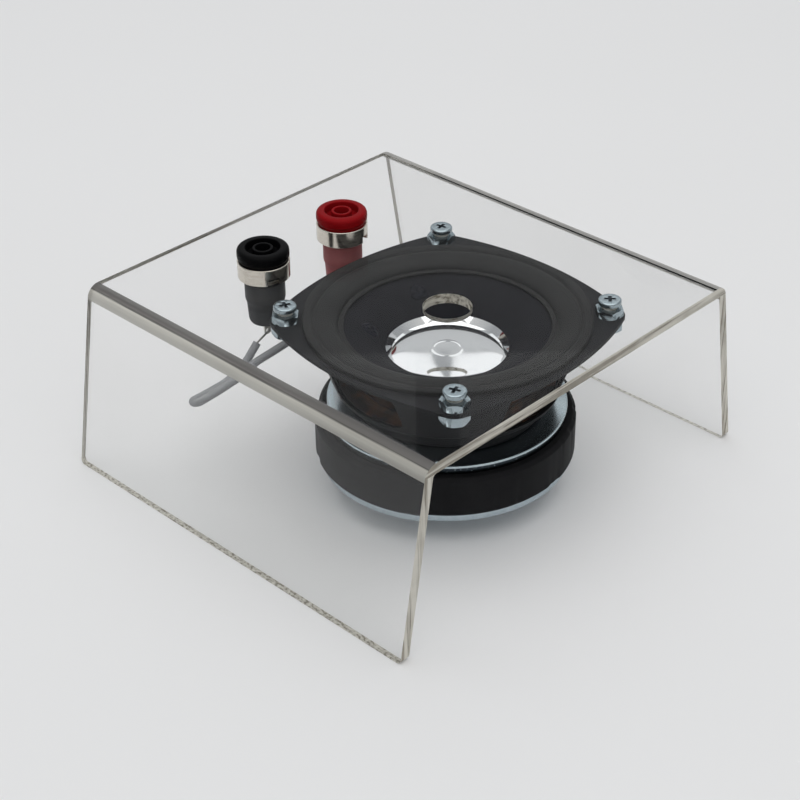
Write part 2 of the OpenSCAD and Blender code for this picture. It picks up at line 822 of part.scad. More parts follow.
module black_socket_head() { socket_head(black_x, [0.06, 0.06, 0.06]); }
module red_socket_head() { socket_head(red_x, [0.65, 0.08, 0.08]); }
module black_ring_nut() { ring_nut(black_x, black_nut_turn); }
module red_ring_nut() { ring_nut(red_x, red_nut_turn); }
module black_socket_body() { socket_body(black_x, [0.06, 0.06, 0.06]); }
module red_socket_body() { socket_body(red_x, [0.65, 0.08, 0.08]); }
module black_contact() { socket_contact(black_x); }
module red_contact() { socket_contact(red_x); }
module black_solder_tag() { solder_tag(black_x); }
module red_solder_tag() { solder_tag(red_x); }
module black_lead() { lead(BLACK_ROUTE, black_x, -1); }
module red_lead() { lead(RED_ROUTE, red_x, 1); }

acrylic_stand();
mounting_screws();
plate_nuts();
ear_nuts();
basket();
surround();
cone();
dust_cap();
voice_coil_former();
voice_coil();
spider();
top_plate();
ferrite_magnet();
back_plate();
pole_piece();
terminal_strip();
terminal_rivet();
terminal_tags();
tinsel_leads();
black_socket_head();
black_ring_nut();
black_socket_body();
black_contact();
black_solder_tag();
red_socket_head();
red_ring_nut();
red_socket_body();
red_contact();
red_solder_tag();
black_lead();
red_lead();
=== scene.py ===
import math
import random

import bpy
from mathutils import Matrix, Vector


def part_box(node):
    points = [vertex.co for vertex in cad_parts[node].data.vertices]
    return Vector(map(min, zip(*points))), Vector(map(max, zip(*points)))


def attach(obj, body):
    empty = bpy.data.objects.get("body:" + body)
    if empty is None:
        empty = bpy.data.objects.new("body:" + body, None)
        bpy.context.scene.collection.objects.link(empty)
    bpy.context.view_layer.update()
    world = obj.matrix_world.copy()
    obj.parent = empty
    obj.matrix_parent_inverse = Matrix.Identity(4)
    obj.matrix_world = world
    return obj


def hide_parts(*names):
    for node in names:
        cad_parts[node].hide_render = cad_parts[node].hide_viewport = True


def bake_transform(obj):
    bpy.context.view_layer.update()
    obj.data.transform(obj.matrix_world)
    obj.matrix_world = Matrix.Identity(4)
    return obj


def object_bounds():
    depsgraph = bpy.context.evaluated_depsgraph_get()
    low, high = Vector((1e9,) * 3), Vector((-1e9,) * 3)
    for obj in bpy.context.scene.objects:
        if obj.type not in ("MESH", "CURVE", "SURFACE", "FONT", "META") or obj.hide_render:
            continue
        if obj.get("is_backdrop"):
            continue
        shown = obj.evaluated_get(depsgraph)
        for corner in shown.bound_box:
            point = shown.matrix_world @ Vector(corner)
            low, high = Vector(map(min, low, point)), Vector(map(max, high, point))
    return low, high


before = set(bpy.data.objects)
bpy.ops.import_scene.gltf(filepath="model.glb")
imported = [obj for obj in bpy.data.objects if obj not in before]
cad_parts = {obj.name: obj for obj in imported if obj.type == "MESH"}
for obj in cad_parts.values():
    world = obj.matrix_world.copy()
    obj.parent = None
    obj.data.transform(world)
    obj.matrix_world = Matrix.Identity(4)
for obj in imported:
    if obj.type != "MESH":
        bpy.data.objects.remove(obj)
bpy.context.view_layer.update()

# Camera on a tripod beyond the stand's near left corner, looking down at about a third of a right angle.
# Place, lens and the small roll were solved from the photograph's straight edges and circles.
lens_mm, film_mm = 80.86, 36
camera_at = Vector((-0.310377, -0.299855, 0.297955))
camera_turn, camera_rise, camera_roll = (math.radians(a) for a in (-45.719, 33.074, -0.712))
towards_camera = Vector((
    math.sin(camera_turn) * math.cos(camera_rise),
    -math.cos(camera_turn) * math.cos(camera_rise),
    math.sin(camera_rise),
))
level = Vector((math.cos(camera_turn), math.sin(camera_turn), 0))
upright = towards_camera.cross(level)
camera_axes = Matrix((
    level * math.cos(camera_roll) + upright * math.sin(camera_roll),
    upright * math.cos(camera_roll) - level * math.sin(camera_roll),
    towards_camera,
)).transposed()
bpy.ops.object.camera_add(location=camera_at, rotation=camera_axes.to_euler())
camera = bpy.context.object
camera.data.sensor_width = film_mm
camera.data.lens = lens_mm
camera.data.clip_start, camera.data.clip_end = 0.01, 20
bpy.context.scene.camera = camera


# Table top: a wide sheet of pale matt laminate that the stand rests on, faintly mottled.
# It carries the soft shadow of the sheet and the driver, and is no part of the object.
class Wire:
    """A socket of a material's nodes. Sums on it add Math nodes, and make() adds any other node."""

    def __init__(self, tree, socket):
        self.tree, self.socket = tree, socket

    def make(self, kind, settings=None, feeds=None, out=0):
        node = self.tree.nodes.new(kind)
        for key, value in (settings or {}).items():
            if key == "stops":
                while len(node.color_ramp.elements) < len(value):
                    node.color_ramp.elements.new(0.5)
                for stop, (place, colour) in zip(node.color_ramp.elements, value):
                    stop.position, stop.color = place, colour
            else:
                setattr(node, key, value)
        for key, value in (feeds or {}).items():
            if isinstance(value, Wire):
                self.tree.links.new(value.socket, node.inputs[key])
            else:
                node.inputs[key].default_value = value
        return Wire(self.tree, node.outputs[out])

    def sum(self, operation, *others, **settings):
        feeds = dict(enumerate((self, *others)))
        return self.make("ShaderNodeMath", {"operation": operation, **settings}, feeds)

    def __add__(self, other):
        return self.sum("ADD", other)

    def __sub__(self, other):
        return self.sum("SUBTRACT", other)

    def __mul__(self, other):
        return self.sum("MULTIPLY", other)

    def __rsub__(self, other):
        return (self * -1) + other

    __radd__ = __add__
    __rmul__ = __mul__

    def into(self, socket):
        self.tree.links.new(self.socket, socket)


def finish(name, **constants):
    """A new material with these constants: itself, its shader's inputs and the place on the piece."""
    skin = bpy.data.materials.new(name)
    skin.use_nodes = True
    shader = skin.node_tree.nodes["Principled BSDF"]
    for key, value in constants.items():
        shader.inputs[key.replace("_", " ")].default_value = value
    place = skin.node_tree.nodes.new("ShaderNodeTexCoord").outputs["Object"]
    return skin, shader.inputs, Wire(skin.node_tree, place)


def speckle(place, size, detail=3.0, rough=0.5):
    """Cloudy noise from 0 to 1 whose lumps are about this size, in metres."""
    feeds = {"Vector": place, "Scale": 1 / size, "Detail": detail, "Roughness": rough}
    return place.make("ShaderNodeTexNoise", None, feeds)


def between(amount, first, second):
    """A colour that goes from the first to the second with an amount from 0 to 1."""
    feeds = {0: amount, 6: (*first, 1), 7: (*second, 1)}
    return amount.make("ShaderNodeMix", {"data_type": "RGBA"}, feeds, out=2)


def relief(height, depth, inputs, strength=1.0):
    """Feeds a height from 0 to 1 to the shader as bumps of this depth, in metres."""
    feeds = {"Height": height, "Distance": depth, "Strength": strength}
    height.make("ShaderNodeBump", None, feeds).into(inputs["Normal"])


table_top, inputs, place = finish("table_top", Roughness=0.75)
mottle = speckle(place, 0.35)
between(mottle, (0.82, 0.82, 0.82), (0.87, 0.87, 0.875)).into(inputs["Base Color"])
bpy.ops.mesh.primitive_plane_add(size=6, location=(0, 0, -0.00003))
table = bpy.context.object
table.name = "table"
table.data.materials.append(table_top)
table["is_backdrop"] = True

# Studio light: a white ceiling over the table and the camera, a darker room behind the object, and
# two soft boxes high at the back with a gap between them, which the mirror cap shows as pale panels.
scene = bpy.context.scene
room = bpy.data.worlds.new("room")
room.use_nodes = True
sky = Wire(room.node_tree, room.node_tree.nodes.new("ShaderNodeTexCoord").outputs["Generated"])
away = Vector((-towards_camera.x, -towards_camera.y, 0)).normalized()
ceiling = (Vector((0, 0, 0.9)) - away * 0.44).normalized()
facing = sky.make("ShaderNodeVectorMath", {"operation": "DOT_PRODUCT"}, {0: sky, 1: ceiling}, out=1)
stops = [(0.0, (0.94, 0.96, 0.98, 1)), (0.09, (1.0, 1.02, 1.04, 1)), (0.115, (0.60, 0.62, 0.64, 1)),
         (0.36, (0.58, 0.60, 0.62, 1)), (0.55, (0.80, 0.82, 0.83, 1)), (0.8, (1, 1, 1, 1))]
glow = facing.make("ShaderNodeValToRGB", {"stops": stops}, {"Fac": facing})
glow.into(room.node_tree.nodes["Background"].inputs["Color"])
room.node_tree.nodes["Background"].inputs["Strength"].default_value = 0.58
scene.world = room


def soft_box(name, at, aim, width, height, power):
    bpy.ops.object.light_add(type="AREA", location=at)
    lamp = bpy.context.object
    lamp.name = name
    lamp.data.shape = "RECTANGLE"
    lamp.data.size, lamp.data.size_y = width, height
    lamp.data.energy = power
    lamp.rotation_euler = (Vector(at) - Vector(aim)).to_track_quat("Z", "Y").to_euler()


sideways = Vector((away.y, -away.x, 0))
back_off, back_up, aim_up = 1.045, 0.96, 0.04
for name, offset in (("box_back_left", -0.285), ("box_back_right", 0.361)):
    aim = sideways * offset + Vector((0, 0, aim_up))
    soft_box(name, away * back_off + aim + Vector((0, 0, back_up)), aim, 0.6, 0.49, 0.62)
soft_box("box_over", away * -0.15 + Vector((0, 0, 1.1)), (0, 0, 0.05), 1.5, 1.5, 6.9)
scene.view_settings.view_transform = "Standard"
scene.cycles.max_bounces = 16
scene.cycles.transmission_bounces = 16
scene.cycles.transparent_max_bounces = 16

# Back plate and pole: a turned disc of soft iron with the pole pressed into it by a spigot, both
# zinc plated. The plating is bluish, with the fine rings of the lathe under it.
mm = 0.001


def clear_choice():
    if bpy.context.object and bpy.context.object.mode != "OBJECT":
        bpy.ops.object.mode_set(mode="OBJECT")
    bpy.ops.object.select_all(action="DESELECT")


def choose(*things):
    clear_choice()
    for thing in things:
        thing.select_set(True)
    bpy.context.view_layer.objects.active = things[0]


def pick_all():
    bpy.ops.mesh.select_all(action="SELECT")


def lone_point(name, place):
    """A new piece that is one point so far, in edit mode, for draw_out to begin at."""
    clear_choice()
    bpy.ops.mesh.primitive_plane_add(size=mm)
    piece = bpy.context.object
    piece.name = piece.data.name = name
    bpy.ops.object.mode_set(mode="EDIT")
    bpy.ops.mesh.select_mode(type="VERT")
    pick_all()
    bpy.ops.mesh.merge(type="CENTER")
    bpy.ops.transform.translate(value=place)
    return piece


def draw_out(steps):
    for step in steps:
        bpy.ops.mesh.extrude_vertices_move(TRANSFORM_OT_translate={"value": step})


def close_up():
    """Turns all faces outwards and puts the edit tools away."""
    pick_all()
    bpy.ops.mesh.normals_make_consistent(inside=False)
    bpy.ops.object.mode_set(mode="OBJECT")


def ray(angle):
    """A flat step of one unit in a direction."""
    return Vector((math.cos(angle), math.sin(angle)))


def eased(corners, steps=4):
    """Corners (across, up) or (across, up, reach) in mm, as points in metres. A reach rounds its corner."""
    line = []
    for i, corner in enumerate(corners):
        here = Vector(corner[:2])
        reach = corner[2] if len(corner) > 2 else 0
        if not reach:
            line.append(here * mm)
            continue
        before = (Vector(corners[i - 1][:2]) - here).normalized() * reach
        after = (Vector(corners[(i + 1) % len(corners)][:2]) - here).normalized() * reach
        for k in range(steps + 1):
            t = k / steps
            line.append((here + before * (1 - t) ** 2 + after * t ** 2) * mm)
    return line


smooth_under = 35


def turned(name, line, centre, steps=160, sweep=360, start=0):
    """A round piece: its outline, as points (radius, height), spun clockwise about an upright line."""
    if line[0].x > 1e-7:
        line = line + line[:1]
    out = ray(math.radians(start)).to_3d()
    piece = lone_point(name, Vector((centre.x, centre.y, line[0].y)) + out * line[0].x)
    draw_out(out * (there.x - here.x) + Vector((0, 0, there.y - here.y))
             for here, there in zip(line, line[1:]))
    pick_all()
    bpy.ops.mesh.remove_doubles(threshold=1e-7)
    pick_all()
    middle = (centre.x, centre.y, 0)
    bpy.ops.mesh.spin(steps=steps, angle=math.radians(sweep), center=middle, axis=(0, 0, 1))
    pick_all()
    bpy.ops.mesh.remove_doubles(threshold=1e-6)
    if sweep < 360:
        bpy.ops.mesh.select_all(action="DESELECT")
        bpy.ops.mesh.select_non_manifold()
        bpy.ops.mesh.edge_face_add()
    close_up()
    bpy.ops.object.shade_smooth_by_angle(angle=math.radians(smooth_under))
    return piece


zinc, inputs, place = finish("zinc", Metallic=1.0, Roughness=0.22)
haze = speckle(place, 0.9 * mm, 4)
tint = speckle(place, 5 * mm, 2)
between(tint, (0.24, 0.30, 0.33), (0.52, 0.59, 0.62)).into(inputs["Base Color"])
(haze * 0.16 + 0.16).into(inputs["Roughness"])
relief(haze, 0.006 * mm, inputs, 0.5)

low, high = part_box("ferrite_magnet")
axis = Vector(((low.x + high.x) / 2, (low.y + high.y) / 2, 0))


wave_length = 0.314  # of a wave texture whose scale is 1


def ring_waves(place, pitch):
    """Fine rings round the driver's axis, from 0 to 1, as a lathe leaves them."""
    centred = place.make("ShaderNodeMapping", None, {"Vector": place, "Location": -axis})
    settings = {"wave_type": "RINGS", "rings_direction": "Z"}
    feeds = {"Vector": centred, "Scale": wave_length / pitch, "Distortion": 0.4,
             "Detail": 2.0, "Detail Scale": 900.0}
    return place.make("ShaderNodeTexWave", settings, feeds, out=1)


turned_zinc, inputs, place = finish("turned_zinc", Metallic=1.0, Roughness=0.2)
rings = ring_waves(place, 0.35 * mm)
haze = speckle(place, 1.4 * mm, 4)
between(haze, (0.36, 0.44, 0.49), (0.58, 0.65, 0.69)).into(inputs["Base Color"])
(haze * 0.14 + rings * 0.06 + 0.1).into(inputs["Roughness"])
relief(rings * 0.7 + haze * 0.3, 0.004 * mm, inputs, 0.6)


def radius_of(node):
    """A round node's radius, and its lowest and highest height, in mm."""
    low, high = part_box(node)
    return (high.x - low.x) / 2 / mm, low.z / mm, high.z / mm


def fit(piece, skin, body, node):
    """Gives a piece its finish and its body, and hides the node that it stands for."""
    piece.data.materials.append(skin)
    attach(piece, body)
    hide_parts(node)


plate_r, plate_low, plate_high = radius_of("back_plate")
pole_r, _, pole_top = radius_of("pole_piece")
spigot_r, edge, press_gap = 8, 0.4, 0.05
groove_in, groove_out, groove_slant, groove_deep = plate_r - 9, plate_r - 7, 0.2, 0.25
back_plate = turned("turned_back_plate", eased([
    (spigot_r + press_gap, plate_low), (groove_in, plate_low),
    (groove_in + groove_slant, plate_low + groove_deep, 0.1),
    (groove_out - groove_slant, plate_low + groove_deep, 0.1), (groove_out, plate_low),
    (plate_r, plate_low, edge), (plate_r, plate_high, edge), (spigot_r + press_gap, plate_high),
]), axis)
centre_mark, pole_inset = 0.9, 0.1
pole_low = plate_low + pole_inset
pole = turned("turned_pole", eased([
    (0, plate_low + centre_mark), (centre_mark, pole_low), (spigot_r - 0.2, pole_low),
    (spigot_r, pole_low + 0.2), (spigot_r, plate_high), (pole_r, plate_high),
    (pole_r, pole_top, edge), (0, pole_top),
]), axis)
fit(back_plate, turned_zinc, "stand", "back_plate")
fit(pole, turned_zinc, "stand", "pole_piece")

# Ferrite ring: sintered grey-black ceramic, ground flat on both faces and glued between the plates.
# Its skin is fine-grained, and small flakes are missing from its brittle edges.
ferrite, inputs, place = finish("ferrite", Roughness=0.6, Specular_IOR_Level=0.06)
grain = speckle(place, 0.35 * mm, 5, 0.7)
cloud = speckle(place, 9 * mm, 3)
between(cloud * 0.6 + grain * 0.4, (0.005, 0.005, 0.006), (0.019, 0.019, 0.020)).into(inputs["Base Color"])
(grain * 0.25 + 0.42).into(inputs["Roughness"])
relief(grain, 0.03 * mm, inputs, 0.35)
ring_r, ring_low, ring_high = radius_of("ferrite_magnet")
ring_bore, bevel, guard, blunt = 16.55, 1.0, 0.6, 0.15
ferrite_ring = turned("ferrite_ring", eased([
    (ring_bore, ring_low), (ring_r - bevel, ring_low, blunt), (ring_r, ring_low + bevel, blunt),
    (ring_r, ring_high - bevel - guard), (ring_r, ring_high - bevel, blunt),
    (ring_r - bevel, ring_high, blunt), (ring_r - bevel - guard, ring_high), (ring_bore, ring_high),
], 2), axis, steps=480)
chips = random.Random(5)
flake_count, flake_inset, flake_deep = 26, 0.5, 0.45
flakes = []
for _ in range(flake_count):
    angle = chips.uniform(0, 2 * math.pi)
    rim = chips.choice((ring_low + flake_inset, ring_high - flake_inset))
    spot = axis + Vector((*(ray(angle) * ring_r), rim)) * mm
    flakes.append((spot, chips.uniform(0.7, 2.3) * mm))
for corner in ferrite_ring.data.vertices:
    for spot, size in flakes:
        near = 1 - (corner.co - spot).length / size
        if near > 0:
            inward = Vector((axis.x - corner.co.x, axis.y - corner.co.y, 0)).normalized()
            corner.co += inward * near * flake_deep * mm
fit(ferrite_ring, ferrite, "stand", "ferrite_magnet")

# Top plate: the turned iron washer that closes the magnet's field round the coil, zinc plated
# like the back plate and glued to the ferrite's upper face.
top_r, top_low, top_high = radius_of("top_plate")
gap_r = 13.75
top_plate = turned("turned_top_plate", eased([
    (gap_r, top_low), (top_r, top_low, edge), (top_r, top_high, edge), (gap_r, top_high, 0.2),
]), axis)


def distance(place, way):
    """How far a place lies across (0), back (1) or up (2)."""
    return place.make("ShaderNodeSeparateXYZ", None, {"Vector": place}, out=way)


def ramp(amount, low, high):
    """0 below the low value, 1 above the high one, and even between them."""
    return amount.make("ShaderNodeMapRange", None, {"Value": amount, "From Min": low, "From Max": high})


# The plate's zinc is painted near black below a narrow band at its top edge: a painted reflection of the
# black ferrite shoulder that its side faces, broken by scattered bright flecks.
shaded, inputs, place = finish("shaded_zinc", Metallic=1.0, Roughness=0.25)
rim = ramp(distance(place, 2), (top_high - 0.7) * mm, (top_high - 0.4) * mm)
flecks = ramp(speckle(place, 0.8 * mm, 4), 0.62, 0.68)
bright = rim.sum("MAXIMUM", flecks * 0.5)
rings = ring_waves(place, 0.35 * mm)
between(bright, (0.03, 0.038, 0.045), (0.55, 0.64, 0.68)).into(inputs["Base Color"])
(rings * 0.06 + 0.2).into(inputs["Roughness"])
relief(rings, 0.002 * mm, inputs, 0.3)
fit(top_plate, shaded, "stand", "top_plate")

# Basket: one pressing of 1 mm steel, a bowl with a step and four windows under a square flange with
# four round ears. It is riveted to the top plate and sprayed matt black.
paint, inputs, place = finish("black_paint", Roughness=0.55, Specular_IOR_Level=0.1)
peel = speckle(place, 0.5 * mm, 4, 0.6)
dust = speckle(place, 14 * mm, 4)
between(dust * 0.7 + peel * 0.3, (0.010, 0.010, 0.011), (0.024, 0.024, 0.026)).into(inputs["Base Color"])
(peel * 0.2 + dust * 0.12 + 0.34).into(inputs["Roughness"])
relief(peel, 0.02 * mm, inputs, 0.5)

sheet = 1.0
flange_low, flange_top, motor_top = 48.2, 49.2, 25.0
ledge_top, ledge_r, cup_r = 31.5, 31.2, 27.2
bowl_r, rim_r, ear_pitch, ear_r, ear_hole = 37.6, 41.0, 31.0, 4.35, 4.5
floor_hole = 14.45


def cut_plate(name, points, bottom, top):
    """A flat plate: its outline drawn corner by corner at the bottom, filled and drawn up to the top."""
    piece = lone_point(name, (points[0][0], points[0][1], bottom))
    draw_out((there[0] - here[0], there[1] - here[1], 0) for here, there in zip(points, points[1:]))
    pick_all()
    bpy.ops.mesh.edge_face_add()
    pick_all()
    bpy.ops.mesh.extrude_region_move(TRANSFORM_OT_translate={"value": (0, 0, top - bottom)})
    close_up()
    return piece


def oblong(left, near, right, far):
    return [(left, near), (right, near), (right, far), (left, far)]


def combine(piece, tool, operation):
    """Joins the tool to the piece, or cuts it away, and takes the tool off the bench."""
    choose(piece)
    step = piece.modifiers.new("cut", "BOOLEAN")
    step.operation, step.object, step.solver = operation, tool, "EXACT"
    bpy.ops.object.modifier_apply(modifier=step.name)
    bpy.data.objects.remove(tool, do_unlink=True)


def broken_edges(piece, width, segments=2, angle=40):
    """Takes the sharpness off a piece's edges, and shades it smooth between them."""
    choose(piece)
    step = piece.modifiers.new("edges", "BEVEL")
    step.width, step.segments, step.limit_method = width * mm, segments, "ANGLE"
    step.angle_limit = math.radians(angle)
    bpy.ops.object.modifier_apply(modifier=step.name)
    bpy.ops.object.shade_smooth_by_angle(angle=math.radians(smooth_under))
    level_out = piece.modifiers.new("level", "WEIGHTED_NORMAL")
    level_out.keep_sharp = True
    bpy.ops.object.modifier_apply(modifier=level_out.name)


def round_edges(piece, reach, wanted):
    """Rounds only those edges whose two ends answer to the rule."""
    choose(piece)
    bpy.ops.object.mode_set(mode="EDIT")
    bpy.ops.mesh.select_mode(type="EDGE")
    bpy.ops.mesh.select_all(action="DESELECT")
    bpy.ops.object.mode_set(mode="OBJECT")
    for line in piece.data.edges:
        line.select = wanted(*(piece.data.vertices[k].co for k in line.vertices))
    bpy.ops.object.mode_set(mode="EDIT")
    bpy.ops.mesh.bevel(offset=reach * mm, segments=6)
    bpy.ops.object.mode_set(mode="OBJECT")


def drill(radius, low, high, at, sides=64):
    """A drill or a pin as a tool: an upright round bar between two heights."""
    clear_choice()
    middle = Vector((at[0], at[1], (low + high) / 2 * mm))
    size = {"radius": radius * mm, "depth": (high - low) * mm}
    bpy.ops.mesh.primitive_cylinder_add(vertices=sides, location=middle, **size)
    bpy.ops.object.transform_apply(location=True, rotation=True, scale=True)
    return bpy.context.object


def flange_line(steps=16):
    """The flange seen from above: four flat arcs that run into four round ears."""
    gap = rim_r - ear_r
    shift = (2 * ear_pitch ** 2 - gap ** 2) / (2 * (gap - ear_pitch))
    reach = rim_r + shift - ear_r
    lean = math.asin(ear_pitch / reach)
    line = []
    for quarter in range(4):
        turn = quarter * math.pi / 2
        for k in range(2 * steps + 1):
            line.append(ray(turn - lean + lean * k / steps) * (rim_r + shift) - ray(turn) * shift)
        ear = ray(turn + math.pi / 4) * ear_pitch * math.sqrt(2)
        for k in range(1, steps):
            line.append(ear + ray(turn + lean + (math.pi / 2 - 2 * lean) * k / steps) * ear_r)
    return [(p.x * mm + axis.x, p.y * mm + axis.y) for p in line]


cup_slant, ledge_slant, rim_lap = 0.8, 0.4, 1.2
basket = turned("pressed_basket", eased([
    (0, motor_top), (cup_r, motor_top, 1.4), (cup_r + cup_slant, ledge_top - sheet, 0.7),
    (ledge_r, ledge_top - sheet, 0.9), (ledge_r + ledge_slant, ledge_top), (bowl_r, flange_low, 0.8),
    (bowl_r + rim_lap, flange_low + 0.2), (bowl_r + rim_lap, flange_top), (0, flange_top),
]), axis)
combine(basket, cut_plate("flange", flange_line(), flange_low * mm, flange_top * mm), "UNION")
tab_half, tab_end, past = 4 * mm, 39.5, 2
tab = oblong(axis.x - tab_half, axis.y + (ledge_r - 1) * mm, axis.x + tab_half, axis.y + tab_end * mm)
combine(basket, cut_plate("tab", tab, (ledge_top - sheet) * mm, ledge_top * mm), "UNION")
combine(basket, turned("hollow", eased([
    (0, motor_top + sheet), (cup_r - sheet, motor_top + sheet, 0.6),
    (cup_r + cup_slant - sheet, ledge_top, 0.9), (ledge_r + ledge_slant - sheet, ledge_top, 0.5),
    (bowl_r - sheet, flange_low, 1.6), (bowl_r - sheet + 1, flange_top + 0.6),
    (bowl_r - sheet + 1, flange_top + past), (0, flange_top + past),
]), axis), "DIFFERENCE")
combine(basket, drill(floor_hole, motor_top - 1, motor_top + 3, axis, 96), "DIFFERENCE")
signs = ((-1, -1), (-1, 1), (1, -1), (1, 1))
corners = [Vector((sx * ear_pitch, sy * ear_pitch, 0)) * mm + axis for sx, sy in signs]
for at in corners:
    combine(basket, drill(ear_hole / 2, flange_low - 1, flange_top + 1, at, 40), "DIFFERENCE")
window_half, window_h, window_low, window_round = 12 * mm, 11.5 * mm, 32.5 * mm, 2.5
lift = Matrix.Translation(axis + Vector((0, 0, window_low)))
facing_out = Matrix(((0, 0, 1, 0), (1, 0, 0, 0), (0, 1, 0, 0), (0, 0, 0, 1)))
window = oblong(-window_half, 0, window_half, window_h)
for turn in range(4):
    punch = cut_plate("punch", window, cup_r * mm, (bowl_r + 3) * mm)
    round_edges(punch, window_round, lambda a, b: abs(a.z - b.z) > mm)
    punch.data.transform(lift @ Matrix.Rotation(turn * math.pi / 2, 4, "Z") @ facing_out)
    combine(basket, punch, "DIFFERENCE")
broken_edges(basket, 0.16)
fit(basket, paint, "stand", "basket")

# Spider: a disc of brown cotton cloth stiffened with resin and pressed into ripples. Its collar is
# glued round the former and its flat rim to the basket's step, and it is made in eight panels.
cloth, inputs, place = finish("brown_cloth", Roughness=0.8, Sheen_Weight=0.05, Sheen_Roughness=0.5)
weave_pitch = 0.42 * mm
feeds = {"Vector": place, "Scale": wave_length / weave_pitch, "Distortion": 0.6,
         "Detail": 1.0, "Detail Scale": 400.0}
warp, weft = (place.make("ShaderNodeTexWave", {"bands_direction": way}, feeds, out=1) for way in ("X", "Y"))
weave = warp * weft
resin = speckle(place, 6 * mm, 3)
soaked = ramp(resin, 0.44, 0.64) * 0.75 + weave * 0.25
# The cloth's colours are far darker than brown cloth: painted shade for the deep shadow that the spider
# lies in under the cone.
between(soaked, (0.014, 0.008, 0.006), (0.16, 0.06, 0.022)).into(inputs["Base Color"])
(resin * 0.3 + 0.5).into(inputs["Roughness"])
relief(weave, 0.05 * mm, inputs, 0.8)
former_r, collar, ripples, ripple_h, cloth_t, glue_t = 12.75, 0.8, 5, 1.2, 0.4, 0.05
rim_out = ledge_r - sheet - 0.1
inner = former_r + glue_t + collar
count = ripples * 10
rest_z = ledge_top + 0.1
wave = [(inner + (cup_r - inner) * k / count,
         rest_z + ripple_h * (1 - math.cos(2 * math.pi * ripples * k / count)) / 2)
        for k in range(count + 1)]
outline = [(former_r + glue_t, rest_z)] + wave + [(rim_out, rest_z), (rim_out, rest_z + cloth_t)]
outline += [(x, z + cloth_t) for x, z in reversed(wave)]
outline += [(inner - 0.1, rest_z + ripple_h, 0.1), (former_r + glue_t, rest_z + ripple_h)]
panels, still_r, moved_r = 8, 25, 14.2
sweep = 360 / panels
for k in range(panels):
    name, start = f"spider_panel_{k + 1}", (k + 0.5) * sweep
    panel = turned(name, eased(outline, 2), axis, steps=20, sweep=sweep, start=start)
    panel.data.materials.append(cloth)
    out = ray(math.radians(k * sweep)).to_3d() * mm
    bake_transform(panel)
    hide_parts("spider")

# Voice coil: a tube of thin amber film with copper wire wound round its lower end in one close layer.
# The tube is glued into the cone's neck and slides in the motor's gap.
film, inputs, place = finish("amber_film", Roughness=0.3, Coat_Weight=0.3)
streak = speckle(place, 3 * mm, 2)
between(streak, (0.35, 0.16, 0.03), (0.5, 0.25, 0.06)).into(inputs["Base Color"])
_, former_low, former_high = radius_of("voice_coil_former")
coil_r, coil_low, coil_high = radius_of("voice_coil")
former_in = former_r - 0.2
former = turned("film_former", eased([
    (former_in, former_low), (former_r, former_low), (former_r, former_high), (former_in, former_high),
]), axis)
copper, inputs, place = finish("copper_wire", Metallic=1.0, Roughness=0.3, Coat_Weight=0.5)
varnish = speckle(place, 2 * mm, 2)
between(varnish, (0.55, 0.2, 0.08), (0.78, 0.36, 0.18)).into(inputs["Base Color"])
turns = 24
pitch = (coil_high - coil_low) / turns
wire_middle = coil_r - pitch / 2
winding = [(former_r + glue_t, coil_low), (wire_middle, coil_low)]
for k in range(turns):
    for a in (-60, -20, 20, 60):
        winding.append((wire_middle + pitch / 2 * math.cos(math.radians(a)),
                        coil_low + pitch * (k + 0.5 + math.sin(math.radians(a)) / 2)))
winding += [(wire_middle, coil_high), (former_r + glue_t, coil_high)]
coil = turned("wound_coil", eased(winding), axis, steps=120)
fit(former, film, "cone_assembly", "voice_coil_former")
fit(coil, copper, "cone_assembly", "voice_coil")

# Cone: black paper pulp, felted and pressed to a flared dish half a millimetre thick, with two dabs
# of black glue where the braided leads come through it.
paper, inputs, place = finish("black_paper", Roughness=0.72, Specular_IOR_Level=0.02, Sheen_Weight=0.01)
fibre = speckle(place, 0.45 * mm, 6, 0.75)
mat = speckle(place, 7 * mm, 3)
between(mat * 0.5 + fibre * 0.5, (0.010, 0.010, 0.012), (0.026, 0.026, 0.030)).into(inputs["Base Color"])
(fibre * 0.2 + 0.52).into(inputs["Roughness"])
relief(fibre, 0.05 * mm, inputs, 0.3)
cone_r, edge_z, neck_r, neck_z, paper_t = 29.6, 46.9, 12.8, 34.8, 0.5
edge_tan, neck_tan = math.tan(math.radians(10)), math.tan(math.radians(56))
bend_r = (edge_z - neck_z - cone_r * edge_tan + neck_r * neck_tan) / (neck_tan - edge_tan)
bend_z = neck_z + (bend_r - neck_r) * neck_tan


def flare(t):
    """A point of the cone's face, from its neck at 0 to its edge at 1."""
    return ((1 - t) ** 2 * neck_r + 2 * t * (1 - t) * bend_r + t * t * cone_r,
            (1 - t) ** 2 * neck_z + 2 * t * (1 - t) * bend_z + t * t * edge_z)


def flare_height(radius):
    low, high = 0.0, 1.0
    for _ in range(40):
        middle = (low + high) / 2
        if flare(middle)[0] < radius:
            low = middle
        else:
            high = middle
    return flare(low)[1]


face = [flare(k / 24) for k in range(25)]
cone = turned("paper_cone", eased(face + [(x, z - paper_t) for x, z in reversed(face)]), axis)
fit(cone, paper, "cone_assembly", "cone")

